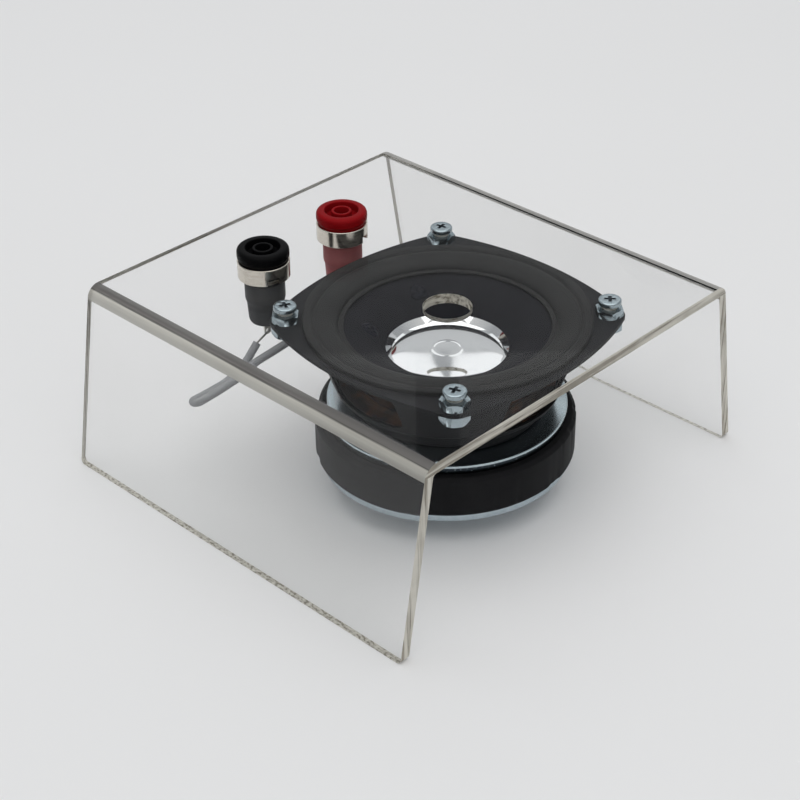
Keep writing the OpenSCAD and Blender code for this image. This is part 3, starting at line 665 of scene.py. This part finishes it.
glue, inputs, place = finish("black_glue", Roughness=0.45, Specular_IOR_Level=0.1)
smear = speckle(place, 1.5 * mm, 3)
between(smear, (0.003, 0.003, 0.005), (0.012, 0.013, 0.019)).into(inputs["Base Color"])
(smear * 0.3 + 0.22).into(inputs["Roughness"])
relief(smear, 0.15 * mm, inputs, 0.7)
dab_size, dab_h = 2.6, 0.45
lumps = random.Random(11)
for k, (angle, dab_r) in enumerate(((math.radians(125), 21.4), (math.radians(63.5), 23.2))):
    clear_choice()
    bpy.ops.mesh.primitive_uv_sphere_add(segments=32, ring_count=20, radius=dab_size * mm)
    dab = bpy.context.object
    dab.name = dab.data.name = f"glue_dab_{k + 1}"
    for corner in dab.data.vertices:
        corner.co.z *= dab_h / dab_size
        swirl = math.sin(3 * math.atan2(corner.co.y, corner.co.x) + k)
        corner.co *= 1 + 0.1 * swirl * lumps.uniform(0.9, 1)
        corner.co.z += 0.12 * mm * math.sin(corner.co.x / mm * 3.1) * math.cos(corner.co.y / mm * 2.7)
    slope = math.atan2(flare_height(dab_r + 1) - flare_height(dab_r - 1), 2)
    seat = Matrix.Translation(axis + Vector((*(ray(angle) * dab_r), flare_height(dab_r))) * mm)
    dab.data.transform(seat @ Matrix.Rotation(angle, 4, "Z") @ Matrix.Rotation(-slope, 4, "Y"))
    choose(dab)
    bpy.ops.object.shade_smooth()
    dab.data.materials.append(glue)
    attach(dab, "cone_assembly")

# Surround: a ring of soft black rubber moulded with a half roll between a thin foot, glued on the
# cone's edge, and a thick lip, glued on the flange. The roll bends as the cone moves.
rubber, inputs, place = finish("black_rubber", Roughness=0.6, Specular_IOR_Level=0.08, Sheen_Weight=0.02)
bloom = speckle(place, 11 * mm, 4)
skin_grain = speckle(place, 0.3 * mm, 3)
between(bloom, (0.020, 0.020, 0.020), (0.036, 0.036, 0.036)).into(inputs["Base Color"])
(bloom * 0.16 + skin_grain * 0.1 + 0.42).into(inputs["Roughness"])
relief(skin_grain, 0.012 * mm, inputs, 0.4)
lip_r, lip_h, roll_h, rubber_t, foot_w = 39.4, 1.3, 1.4, 0.6, 1.3
roll_in, roll_out, lip_in = 29.7, 36.2, 37.2
foot_z = edge_z + 0.1
roll = []
for k in range(25):
    share = k / 24
    roll.append(((roll_in + roll_out) / 2 - (roll_out - roll_in) / 2 * math.cos(math.pi * share),
                 foot_z + (flange_top - foot_z) * share + roll_h * math.sin(math.pi * share)))
outline = [(cone_r - foot_w, foot_z)] + roll + [
    (lip_r, flange_top), (lip_r, flange_top + lip_h, 0.5), (lip_in, flange_top + lip_h, 0.5),
    (roll_out + 0.35, flange_top + rubber_t, 0.3)]
outline += [(x, z + rubber_t) for x, z in reversed(roll[:-1])]
outline.append((cone_r - foot_w, foot_z + rubber_t, 0.25))
surround = turned("rubber_surround", eased(outline), axis, steps=200)
surround.data.materials.append(rubber)
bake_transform(surround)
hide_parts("surround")

# Dust cap: a shallow dome drawn from mirror-bright film, with a lip turned up to lie on the cone.
# A ring pressed into its middle and faint ripples in the film bend what it reflects.
shine = {"Metallic": 1.0, "Roughness": 0.14, "Coat_Weight": 0.6, "Coat_Roughness": 0.02}
mirror, inputs, place = finish("mirror_film", **shine)
dulling = speckle(place, 2.5 * mm, 4)
swell = speckle(place, 7 * mm, 1)
between(dulling, (0.88, 0.90, 0.91), (0.95, 0.96, 0.96)).into(inputs["Base Color"])
(dulling * 0.04 + 0.05).into(inputs["Roughness"])
relief(swell, 0.03 * mm, inputs, 0.1)
cap_r, cap_lip, cap_t = 16.9, 1.5, 0.4
crown_rise, edge_drop = 0.3, 0.55
cap_foot = cap_r - cap_lip
cap_low = flare_height(cap_foot) + glue_t
mark_r, mark_w, mark_h = 3.9, 0.35, 0.05


def dome(radius):
    """Height of the cap's underside at a radius."""
    mark = mark_h * math.exp(-((radius - mark_r) / mark_w) ** 2)
    out = radius / cap_foot
    return cap_low + crown_rise * (1 - out ** 2) + edge_drop * (1 - out ** 7) + mark


radii = [0, 1, 2, 2.8] + [3.1 + 0.1 * k for k in range(17)] + [5.2, 6, 7, 8, 9]
radii += [9.5 + 0.4 * k for k in range(15)] + [cap_foot]
under = [(r, dome(r)) for r in radii]
under += [(r, flare_height(r) + glue_t) for r in (cap_foot + 0.5, cap_foot + 1, cap_r)]
cap = turned("mirror_cap", eased(under + [(x, z + cap_t) for x, z in reversed(under)]), axis)
fit(cap, mirror, "cone_assembly", "dust_cap")

# Terminal strip: a piece of brown laminated board held to the basket's tab by a hollow rivet, with
# two tinned solder tags staked through it, each with a hole for a wire.
board, inputs, place = finish("brown_board", Roughness=0.55, Coat_Weight=0.15)
feeds = {"Vector": place, "Scale": 900.0, "Distortion": 2.0}
layers = place.make("ShaderNodeTexWave", {"bands_direction": "Z"}, feeds, out=1)
mottle = speckle(place, 1.2 * mm, 4)
between(mottle * 0.7 + layers * 0.3, (0.16, 0.07, 0.025), (0.34, 0.17, 0.07)).into(inputs["Base Color"])
relief(mottle, 0.02 * mm, inputs, 0.5)
tin, inputs, place = finish("tin", Metallic=1.0, Roughness=0.3)
dull = speckle(place, 0.8 * mm, 4)
between(dull, (0.55, 0.54, 0.51), (0.78, 0.77, 0.73)).into(inputs["Base Color"])
(dull * 0.25 + 0.2).into(inputs["Roughness"])
relief(dull, 0.02 * mm, inputs, 0.4)
low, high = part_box("terminal_strip")
rivet_low, rivet_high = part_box("terminal_rivet")
rivet_at = (rivet_low + rivet_high) / 2
tag_low, tag_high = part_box("terminal_tags")
tag_w, tag_t, tag_pitch = 3.2, 0.5, 12
stakes = [(axis.x + side * tag_pitch / 2 * mm, rivet_at.y) for side in (-1, 1)]
stake_r, tag_hole_r, board_gap = 1.0, 0.8, 0.05
rivet_r, rivet_head, head_t, bore_r = 1.25, 2.2, 0.5, 0.62
strip = cut_plate("terminal_board", oblong(low.x, low.y, high.x, high.y), low.z, high.z)
for at, pin_r in ((rivet_at, rivet_r), (stakes[0], stake_r), (stakes[1], stake_r)):
    combine(strip, drill(pin_r + board_gap, low.z / mm - 1, high.z / mm + 1, at, 32), "DIFFERENCE")
broken_edges(strip, 0.12)
fit(strip, board, "stand", "terminal_strip")
bottom, top = rivet_low.z / mm, rivet_high.z / mm
rivet = turned("hollow_rivet", eased([
    (bore_r, bottom, 0.15), (rivet_head, bottom, 0.2), (rivet_head, bottom + head_t, 0.1),
    (rivet_r, bottom + head_t), (rivet_r, top - head_t), (rivet_head, top - head_t, 0.1),
    (rivet_head, top, 0.2), (bore_r, top, 0.15),
]), rivet_at, steps=40)
fit(rivet, tin, "stand", "terminal_rivet")


def half_round(x, y, radius, start=0):
    """The points of a half circle, for a tag's round end."""
    angles = [start + math.pi * k / 14 for k in range(15)]
    return [(x + radius * math.cos(a), y + radius * math.sin(a)) for a in angles]


def joined(name, pieces):
    """Several pieces made one, each with its own finish."""
    choose(*pieces)
    bpy.ops.object.join()
    whole = bpy.context.object
    whole.name = whole.data.name = name
    return whole


tags = []
tag_in, tag_end, tag_top = tag_low.y, tag_high.y, tag_high.z
half = tag_w / 2 * mm
for x, stake_y in stakes:
    line = [(x - half, tag_in), (x + half, tag_in)] + half_round(x, tag_end - half, half)
    tag = cut_plate("board_tag", line, tag_top - tag_t * mm, tag_top)
    face_z, hole_at = tag_top / mm, (x, tag_end - half)
    combine(tag, drill(tag_hole_r, face_z - 2, face_z + 1, hole_at, 28), "DIFFERENCE")
    combine(tag, drill(stake_r, tag_low.z / mm, face_z - 0.1, (x, stake_y), 28), "UNION")
    broken_edges(tag, 0.08)
    tags.append(tag)
fit(joined("board_tags", tags), tin, "stand", "terminal_tags")

# Braided leads: two soft plaits of fine copper strands that carry the signal from the tags through
# the rear window to the cone, and flex with it.
braid, inputs, place = finish("copper_braid", Metallic=1.0, Roughness=0.4)
plait = [place.make("ShaderNodeTexWave", {"bands_direction": "DIAGONAL"}, {
    "Vector": place.make("ShaderNodeMapping", None, {"Vector": place, "Scale": (side, 1, 1)}),
    "Scale": 620.0, "Distortion": 0.8}, out=1) for side in (-1, 1)]
strands = plait[0] * 0.5 + plait[1] * 0.5
between(strands, (0.42, 0.17, 0.07), (0.85, 0.5, 0.28)).into(inputs["Base Color"])
relief(strands, 0.06 * mm, inputs, 0.9)


def smooth_path(route, cuts):
    """A smooth path through given points, with this many steps from each to the next."""
    path = []
    for i in range(len(route) - 1):
        a, b, c, d = (route[max(0, min(k, len(route) - 1))] for k in (i - 1, i, i + 1, i + 2))
        for j in range(cuts):
            t = j / cuts
            path.append((b * 2 + (c - a) * t + (a * 2 - b * 5 + c * 4 - d) * t ** 2
                         + (b * 3 - a - c * 3 + d) * t ** 3) / 2)
    return path + [route[-1]]


def drawn_wire(name, path, thick, sides=3):
    """A round wire or cable along a path: a curve given its thickness, made a closed mesh."""
    clear_choice()
    bpy.ops.curve.primitive_bezier_curve_add()
    wire = bpy.context.object
    wire.name = wire.data.name = name
    wire.data.dimensions = "3D"
    wire.data.splines.clear()
    line = wire.data.splines.new("POLY")
    line.points.add(len(path) - 1)
    for point, at in zip(line.points, path):
        point.co = (*at, 1)
    wire.data.bevel_depth = thick / 2
    wire.data.bevel_resolution = sides
    wire.data.use_fill_caps = True
    bpy.ops.object.convert(target="MESH")
    bpy.ops.object.mode_set(mode="EDIT")
    pick_all()
    bpy.ops.mesh.remove_doubles(threshold=1e-6)
    close_up()
    bpy.ops.object.shade_smooth_by_angle(angle=math.radians(50))
    return bpy.context.object


braid_d, cone_x, cone_y, tag_lap = 0.9, 12, 17.6, 2
cone_end = Vector((cone_x, cone_y, flare_height(math.hypot(cone_x, cone_y)) - paper_t - braid_d))
tag_rest = Vector((tag_pitch / 2, (tag_in - axis.y) / mm + tag_lap, tag_top / mm + braid_d / 2 + 0.05))
shares = ((0, 0, 0), (0.07, 0.16, 0.3), (0.33, 0.44, 0.6), (0.7, 0.73, 0.82), (0.97, 0.92, 0.98), (1, 1, 1))
leads = []
for side in (1, -1):
    route = [Vector((side * (cone_end.x + (tag_rest.x - cone_end.x) * sx),
                     cone_end.y + (tag_rest.y - cone_end.y) * sy,
                     cone_end.z + (tag_rest.z - cone_end.z) * sz)) * mm + axis for sx, sy, sz in shares]
    leads.append(drawn_wire(f"braid_{side}", smooth_path(route, 8), braid_d * mm))
leads = joined("braided_leads", leads)
leads.data.materials.append(braid)
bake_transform(leads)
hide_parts("tinsel_leads")

# Stand: one sheet of 3 mm clear acrylic, sawn and drilled, then bent along two heated lines so that
# its legs lean out. The faces are glossy, and the sawn edges and drilled walls are brownish and dull.
stand_w, stand_d, stand_h, sheet_t, bend_in = 120, 128, 54.5, 3, 1
splay = math.radians(10)
bend_x = stand_w / 2 - (bend_in + sheet_t) * math.tan((math.pi / 2 - splay) / 2)
bend_z = stand_h - bend_in - sheet_t
acrylic_ior = 1.49
glassy = {"Transmission_Weight": 1.0, "Roughness": 0.0, "Specular_Tint": (0.35, 0.35, 0.35, 1)}
acrylic, inputs, place = finish("clear_acrylic", IOR=acrylic_ior, **glassy)
clear = Wire(place.tree, place.tree.nodes["Principled BSDF"].outputs[0])
shade = clear.make("ShaderNodeLightPath", out="Is Shadow Ray")
see_through = clear.make("ShaderNodeBsdfTransparent", None, {"Color": (0.9, 0.91, 0.905, 1)})
smears = speckle(place, 38 * mm, 4)
between(smears, (0.92, 0.92, 0.915), (1.0, 1.0, 1.0)).into(inputs["Base Color"])
feeds = {"Color": (0.98, 0.98, 0.98, 1), "Roughness": 0.0, "IOR": acrylic_ior}
bent_only = clear.make("ShaderNodeBsdfRefraction", None, feeds)
guard = 0.5
aloft = distance(place, 2).sum("GREATER_THAN", (stand_h - sheet_t - guard) * mm)
across = distance(place, 0).sum("ABSOLUTE")
level_part = aloft * across.sum("LESS_THAN", (bend_x - guard) * mm)
glossless = clear.make("ShaderNodeMixShader", None, {0: level_part * 0.8, 1: clear, 2: bent_only})
mixed = clear.make("ShaderNodeMixShader", None, {0: shade, 1: glossless, 2: see_through})
mixed.into(place.tree.nodes["Material Output"].inputs["Surface"])


def stretched(place, scale, detail):
    """Noise from 0 to 1 drawn out along the ways in which its scale, per metre, is small."""
    drawn = place.make("ShaderNodeMapping", None, {"Vector": place, "Scale": scale})
    return drawn.make("ShaderNodeTexNoise", None, {"Vector": drawn, "Scale": 1.0, "Detail": detail})


sawn, inputs, place = finish("sawn_acrylic", Transmission_Weight=0.2, IOR=acrylic_ior, Roughness=0.4)
upright_marks = stretched(place, (900.0, 900.0, 40.0), 3.0)
level_marks = stretched(place, (40.0, 900.0, 900.0), 3.0)
on_top = distance(place, 2).sum("GREATER_THAN", (stand_h - sheet_t) * mm)
marks = ramp(on_top.make("ShaderNodeMix", None, {0: on_top, 2: upright_marks, 3: level_marks}), 0.38, 0.6)
stain = speckle(place, 4 * mm, 3)
between(stain * 0.35 + marks * 0.65, (0.20, 0.17, 0.12), (0.88, 0.85, 0.76)).into(inputs["Base Color"])
(marks * 0.3 + 0.2).into(inputs["Roughness"])
relief(marks, 0.03 * mm, inputs, 0.6)

# The heater has left the outside of the left bend dull. Its colour across the bend is painted light: from
# the top, a dark grey band for the dark things seen through it, a thin dark line, then a bright painted
# highlight fading to a pale band towards the leg.
heated_painted_bend, inputs, place = finish("heated_bend_painted_light", Transmission_Weight=0.3, IOR=acrylic_ior, Roughness=0.35)
streaks = stretched(place, (2200.0, 25.0, 2200.0), 2.0)
outward = distance(place, 0).sum("ABSOLUTE") * (1 / mm) - bend_x
round_bend = (outward + streaks * 0.7 - 0.35) * (1 / (bend_in + sheet_t))
bands = [(0.0, (0.10, 0.095, 0.09, 1)), (0.55, (0.17, 0.16, 0.15, 1)), (0.62, (0.07, 0.065, 0.06, 1)),
         (0.68, (0.60, 0.58, 0.52, 1)), (1.0, (0.42, 0.41, 0.37, 1))]
round_bend.make("ShaderNodeValToRGB", {"stops": bands}, {"Fac": round_bend}).into(inputs["Base Color"])
(streaks * 0.3 + 0.2).into(inputs["Roughness"])
relief(streaks, 0.04 * mm, inputs, 0.5)

# The right bend, inside and out, is given an even dull grey: painted light for the light that the sheet
# carries up from the table into the bend.
painted_light_bend, inputs, place = finish("right_bend_painted_light", Transmission_Weight=0.5, IOR=acrylic_ior, Roughness=0.35)
faint = speckle(place, 9 * mm, 3)
between(faint, (0.34, 0.33, 0.31), (0.62, 0.61, 0.58)).into(inputs["Base Color"])
(faint * 0.2 + 0.25).into(inputs["Roughness"])
foot_round, centre_hole, screw_hole, socket_hole = 1.5, 13.5, 4.3, 9.3
bend_steps = 24


def stand_side(inset):
    """Right half of the stand's section at a depth under its outer face, from the foot up to the top."""
    lean, top, radius = math.tan(splay), stand_h - inset, bend_in + sheet_t - inset
    edge_x = stand_w / 2 - inset / math.cos(splay) + inset * lean
    centre = Vector((edge_x - radius * math.tan((math.pi / 2 - splay) / 2), top - radius))
    line = [Vector((edge_x + top * lean, 0))]
    for k in range(bend_steps + 1):
        line.append(centre + radius * ray(splay + (math.pi / 2 - splay) * k / bend_steps))
    line.insert(1, line[1] + ray(splay - math.pi / 2) * guard)
    line.append(line[-1] - Vector((guard, 0)))
    return line


outer, inside = stand_side(0), stand_side(sheet_t)
section = outer + [Vector((-p.x, p.y)) for p in reversed(outer)]
section += [Vector((-p.x, p.y)) for p in inside] + list(reversed(inside))
half_d = stand_d / 2 * mm
stand = cut_plate("clear_stand", [(p.x * mm, p.y * mm) for p in section], -half_d, half_d)
upend = Matrix(((1, 0, 0, 0), (0, 0, -1, 0), (0, 1, 0, 0), (0, 0, 0, 1)))
stand.data.transform(upend)
near = 0.1 * mm
round_edges(stand, foot_round, lambda a, b: max(a.z, b.z) < near and abs(a.y - b.y) < near)
holes = [(axis, centre_hole)] + [(at, screw_hole) for at in corners]
sockets = {"black": Vector((-22.3, 33.3, 0)) * mm, "red": Vector((8.2, 33.3, 0)) * mm}
holes += [(at, socket_hole) for at in sockets.values()]
for at, size in holes:
    combine(stand, drill(size / 2, stand_h - sheet_t - 1, stand_h + 1, at, 96), "DIFFERENCE")
broken_edges(stand, 0.14)
for skin in (acrylic, sawn, heated_painted_bend, painted_light_bend):
    stand.data.materials.append(skin)
for side in stand.data.polygons:
    at, way = side.center / mm, side.normal
    end = abs(at.y) > stand_d / 2 - 0.3 or at.z < 0.3 or (at.z < 2 and abs(way.y) > 0.2)
    bored = at.z > stand_h - sheet_t and abs(way.z) < 0.5 and any(
        abs((at.xy - c.xy / mm).length - size / 2) < 0.2 for c, size in holes)
    from_bend = math.hypot(abs(at.x) - bend_x, at.z - bend_z)
    outside_bend = -at.x > bend_x and at.z > bend_z and abs(from_bend - bend_in - sheet_t) < 0.1
    by_right_bend = at.x > bend_x - 0.3 and at.z > bend_z
    side.material_index = 1 if end or bored else 2 if outside_bend else 3 if by_right_bend else 0
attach(stand, "stand")
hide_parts("acrylic_stand")

# Screws: four M4 by 10 machine screws with flat-topped pan heads and a cross recess, headed and
# rolled from wire and plated with zinc.
screw_end, head_r, head_h, head_rim = 44.5, 3.2, 1.4, 1.1
crest_r, root_r, thread, chamfer, crown_r = 2.0, 1.62, 0.7, 0.35, 2.75
groove = [(0, screw_end), (root_r - chamfer, screw_end)]
z = screw_end + chamfer
one_turn = ((root_r, 0), (crest_r, 0.38), (crest_r, 0.52), (root_r, 0.9))
while z + thread < stand_h - 0.1:
    groove += [(radius, z + thread * share) for radius, share in one_turn]
    z += thread
groove += [(crest_r - 0.1, stand_h), (head_r, stand_h, 0.1), (head_r, stand_h + head_rim, 0.3),
           (crown_r, stand_h + head_h - 0.05, 0.25), (0, stand_h + head_h)]
origin = Vector((0, 0, 0))
screw = turned("screw", eased(groove), origin, steps=56)
mouth, tip = (3.4, 0.95, stand_h + head_h + 0.1), (1.6, 0.5, stand_h + head_h - 1.0)


def cube():
    clear_choice()
    bpy.ops.mesh.primitive_cube_add(size=1)
    return bpy.context.object


for turn in (0, 90):
    blade = cube()
    for corner in blade.data.vertices:
        long, wide, height = tip if corner.co.z < 0 else mouth
        corner.co.x *= long * mm
        corner.co.y *= wide * mm
        corner.co.z = height * mm
    blade.data.transform(Matrix.Rotation(math.radians(turn), 4, "Z"))
    combine(screw, blade, "DIFFERENCE")
broken_edges(screw, 0.07, angle=50)
# The walls of the cross recess get a near-black zinc: painted shade for the depth of the recess.
recess_shade, inputs, place = finish("recess_painted_shade", Metallic=1.0, Roughness=0.5)
shade_speckle = speckle(place, 0.3 * mm, 3)
between(shade_speckle, (0.015, 0.02, 0.025), (0.07, 0.08, 0.09)).into(inputs["Base Color"])
screw.data.materials.append(zinc)
screw.data.materials.append(recess_shade)
for side in screw.data.polygons:
    out = math.hypot(side.center.x, side.center.y) / mm
    in_recess = out < 1.75 and stand_h < side.center.z / mm < stand_h + head_h - 0.2
    side.material_index = 1 if in_recess else 0


def set_of(name, pattern, height, turns):
    """One copy of a small part at each of the four corners, turned as the real ones happen to be."""
    copies = []
    for at, turn in zip(corners, turns):
        copy = pattern.copy()
        copy.data = pattern.data.copy()
        bpy.context.collection.objects.link(copy)
        place = Matrix.Translation(at + Vector((0, 0, height * mm)))
        copy.data.transform(place @ Matrix.Rotation(math.radians(turn), 4, "Z"))
        copies.append(copy)
    bpy.data.objects.remove(pattern, do_unlink=True)
    return joined(name, copies)


screws = set_of("pan_screws", screw, 0, (20, 65, 40, 10))
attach(screws, "stand")
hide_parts("mounting_screws")

# Nuts: on each screw a thin hexagon nut that holds the driver away from the sheet, and a full nut
# under the ear that clamps it. They are cold-forged steel with both faces chamfered, zinc plated.
nut_flat, nut_edge, nut_bore, skim = 7.0, 0.35, 2.05, 0.01
nut_corner = nut_flat / 2 / math.cos(math.pi / 6)
out_r = nut_corner + 2 * skim
for name, node, seat, nut_h, turns in (
    ("upper_nuts", "plate_nuts", flange_top, 2.3, (12, 42, 50, 13)),
    ("lower_nuts", "ear_nuts", flange_low - 3.2, 3.2, (12, 13, 42, 50)),
):
    nut = drill(nut_corner, 0, nut_h, origin, 6)
    nut.data.transform(Matrix.Rotation(math.radians(-30), 4, "Z"))
    combine(nut, turned("chamfer", eased([
        (0, -skim), (nut_flat / 2, -skim), (out_r, nut_edge),
        (out_r, nut_h - nut_edge), (nut_flat / 2, nut_h + skim), (0, nut_h + skim),
    ]), origin, steps=96), "INTERSECT")
    combine(nut, drill(nut_bore, -1, nut_h + 1, origin, 40), "DIFFERENCE")
    broken_edges(nut, 0.1)
    fit(set_of(name, nut, seat, turns), zinc, "stand", node)

# Sockets, one black and one red: a moulded head on a nickel ring nut, whose threaded body goes
# through the sheet and holds a plated tube that grips the plug, with a solder tag below.
nickel, inputs, place = finish("nickel", Metallic=1.0, Roughness=0.2)
scratch = stretched(place, (260.0, 260.0, 2600.0), 4.0)
between(scratch, (0.60, 0.55, 0.48), (0.78, 0.74, 0.67)).into(inputs["Base Color"])
(scratch * 0.16 + 0.1).into(inputs["Roughness"])
relief(scratch, 0.008 * mm, inputs, 0.5)


def moulding(name, dark, light):
    """Moulded plastic in one colour, satin, with the faint mottle of its mould."""
    skin, inputs, place = finish(name, Roughness=0.45, Specular_IOR_Level=0.05)
    mottle = speckle(place, 0.7 * mm, 4)
    cloud = speckle(place, 5 * mm, 2)
    between(cloud * 0.7 + mottle * 0.3, dark, light).into(inputs["Base Color"])
    (mottle * 0.2 + cloud * 0.1 + 0.26).into(inputs["Roughness"])
    relief(mottle, 0.012 * mm, inputs, 0.4)
    return skin


plastics = {
    "black": moulding("black_plastic", (0.0015, 0.0015, 0.0018), (0.004, 0.004, 0.0045)),
    "red": moulding("red_plastic", (0.17, 0.002, 0.004), (0.30, 0.005, 0.008)),
}
body_plastics = {
    "black": moulding("black_body_plastic", (0.058, 0.059, 0.062), (0.076, 0.077, 0.081)),
    "red": moulding("red_body_plastic", (0.24, 0.075, 0.08), (0.31, 0.09, 0.095)),
}
nut_r, nut_top, head_r, head_top = 7.4, 59.4, 7.35, 63.3
neck_r, body_r, body_low, sheet_z = 4.5, 5.7, 38.1, stand_h - sheet_t
fit_r, slim = neck_r + 0.05, body_r - 0.8
moat_out, moat_in, moat_low, rim_top, hole_r = 4.9, 3.0, head_top - 2.4, head_top - 0.2, 2.15
plug_r, tube_t, tube_low, tube_top = 2.0, 0.8, body_low + 1.4, nut_top + 0.95
tube_r, core_r, lug_r = plug_r + tube_t, plug_r + tube_t + 0.05, 1.35
slot_w, slot_deep, slot_turns = 3.4, 2, {"black": 69, "red": 112}
lug_half, lug_t, lug_eye = 1.2 * mm, 0.6 * mm, 0.7
for name, at in sockets.items():
    head = turned(f"{name}_head", eased([
        (fit_r, nut_top), (head_r - 0.7, nut_top, 0.1), (head_r - 0.6, nut_top + 0.45, 0.2),
        (head_r, nut_top + 1.1, 0.5), (head_r, head_top, 1.4), (moat_out, head_top, 0.3),
        (moat_out - 0.05, moat_low, 0.4), (moat_in, moat_low, 0.3), (moat_in - 0.1, rim_top, 0.3),
        (hole_r, rim_top, 0.25), (hole_r, nut_top + 1), (fit_r, nut_top + 1),
    ], 6), at, steps=120)
    ring = turned(f"{name}_nut", eased([
        (fit_r, stand_h), (nut_r, stand_h, 0.2), (nut_r, nut_top, 0.3), (fit_r, nut_top, 0.2),
    ]), at, steps=120)
    slot_tool = cube()
    slot_tool.data.transform(Matrix.Diagonal((20 * mm, slot_w * mm, 2 * slot_deep * mm, 1)))
    slot_tool.data.transform(Matrix.Rotation(math.radians(slot_turns[name]), 4, "Z"))
    slot_tool.data.transform(Matrix.Translation(at + Vector((0, 0, stand_h * mm))))
    combine(ring, slot_tool, "DIFFERENCE")
    broken_edges(ring, 0.08, angle=50)
    body = turned(f"{name}_body", eased([
        (lug_r, body_low), (slim, body_low, 1.7), (slim + 0.4, body_low + 6.7, 0.6),
        (body_r, body_low + 7.7, 0.6), (body_r, sheet_z, 0.15), (neck_r, sheet_z),
        (neck_r, tube_top), (core_r, tube_top), (core_r, tube_low), (lug_r, tube_low),
    ], 6), at, steps=96)
    tube = turned(f"{name}_tube", eased([
        (0, tube_low), (tube_r, tube_low), (tube_r, tube_top, 0.2), (plug_r, tube_top, 0.3),
        (plug_r, tube_low + tube_t), (0, tube_low + tube_t),
    ]), at, steps=64)
    tag_from, tag_to = (v.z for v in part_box(f"{name}_solder_tag"))
    line = half_round(0, lug_half, lug_half, math.pi)
    line += [(lug_half, tag_to - tag_from), (-lug_half, tag_to - tag_from)]
    lug = cut_plate(f"{name}_lug", line, -lug_t / 2, lug_t / 2)
    combine(lug, drill(lug_eye, -2, 2, (0, lug_half), 24), "DIFFERENCE")
    lug.data.transform(Matrix.Translation(at + Vector((0, 0, tag_from))) @ upend)
    broken_edges(lug, 0.06)
    fit(head, plastics[name], "stand", f"{name}_socket_head")
    fit(ring, nickel, "stand", f"{name}_ring_nut")
    fit(body, body_plastics[name], "stand", f"{name}_socket_body")
    fit(tube, nickel, "stand", f"{name}_contact")
    fit(lug, tin, "stand", f"{name}_solder_tag")

# Leads: grey vinyl-covered wire, cut to length and bent by hand. Each has its bare strands twisted
# and soldered to a socket's tag at one end and to a terminal of the driver at the other.
vinyl, inputs, place = finish("grey_vinyl", Roughness=0.5, Specular_IOR_Level=0.45)
rub = speckle(place, 1.1 * mm, 3)
cloud = speckle(place, 8 * mm, 2)
between(cloud * 0.7 + rub * 0.3, (0.23, 0.237, 0.247), (0.35, 0.357, 0.367)).into(inputs["Base Color"])
(rub * 0.2 + 0.36).into(inputs["Roughness"])
relief(rub, 0.02 * mm, inputs, 0.4)
lead_d, wire_d = 2.3, 0.6
routes = {
    "black": ((-27.9, 31.6, 33.7), (-29.8, 31.8, 31.6), (-32.4, 32, 29.2), (-38, 32, 27.5),
              (-43, 32, 27.1), (-47.6, 32, 27), (-49.9, 32, 27), (-50.8, 31.65, 27.05),
              (-51.2, 30.85, 27.2), (-50.8, 30.05, 27.35), (-49.9, 29.7, 27.4), (-47, 29.7, 27.5),
              (-42, 29.65, 27.9), (-36, 29.5, 28.7), (-30, 29.2, 29.7), (-22, 27.6, 31.8),
              (-15.5, 26.8, 33.4), (-10.5, 26.6, 33.8)),
    "red": ((8.6, 31.2, 33), (10.6, 32.2, 31.4), (11.9, 33, 28.8), (11.6, 31.6, 26.6),
            (10.4, 29.8, 27), (9.8, 28.4, 29.6), (9.4, 27.2, 32.4), (8.4, 26.6, 33.7)),
}


def twisted_strands(name, start, end, thick, turns):
    """Seven fine strands twisted into one bare wire between two points."""
    along = (end - start).normalized()
    side = along.cross(Vector((0, 0, 1))).normalized()
    other = along.cross(side)
    strand = thick / 3
    wires = [drawn_wire(f"{name}_core", [start, end], strand, 1)]
    for k in range(6):
        path = []
        for j in range(25):
            a = 2 * math.pi * (k / 6 + turns * j / 24)
            path.append(start.lerp(end, j / 24) + (side * math.cos(a) + other * math.sin(a)) * strand)
        wires.append(drawn_wire(f"{name}_strand", path, strand, 1))
    return wires


def solder(name, at, reach, height):
    """A small frozen drop of solder, fuller in the middle than at its foot."""
    clear_choice()
    bpy.ops.mesh.primitive_uv_sphere_add(segments=24, ring_count=14, radius=reach)
    drop = bpy.context.object
    drop.name = drop.data.name = name
    for corner in drop.data.vertices:
        corner.co.y *= height[0]
        corner.co.z *= height[1]
        corner.co *= 1 + 0.08 * math.sin(corner.co.x / reach * 4 + corner.co.z / reach * 3)
    drop.data.transform(Matrix.Translation(at))
    bpy.ops.object.shade_smooth()
    drop.data.materials.append(tin)
    return drop


for name, (tag_x, _) in zip(routes, stakes):
    at = sockets[name]
    route = [Vector(p) * mm for p in routes[name]]
    eye = Vector((at.x, at.y - (0.35 + wire_d / 2) * mm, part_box(f"{name}_solder_tag")[0].z + 1.2 * mm))
    tag_eye = Vector((tag_x, tag_end - tag_w / 2 * mm, tag_top + (wire_d / 2 + 0.05) * mm))
    cover = drawn_wire(f"{name}_cover", smooth_path(route, 8), lead_d * mm, 6)
    cover.data.materials.append(vinyl)
    wires = twisted_strands(name, eye, route[0], wire_d * mm, 1.5)
    wires += twisted_strands(name, route[-1], tag_eye, wire_d * mm, 1)
    for wire in wires:
        wire.data.materials.append(tin)
    joints = [solder(f"{name}_solder_up", eye, 0.85 * mm, (0.45, 1.0)),
              solder(f"{name}_solder_down", tag_eye, 1.1 * mm, (1.0, 0.4))]
    lead = joined(f"{name}_wired_lead", [cover, *wires, *joints])
    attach(lead, "stand")
    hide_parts(f"{name}_lead")

low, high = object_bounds()
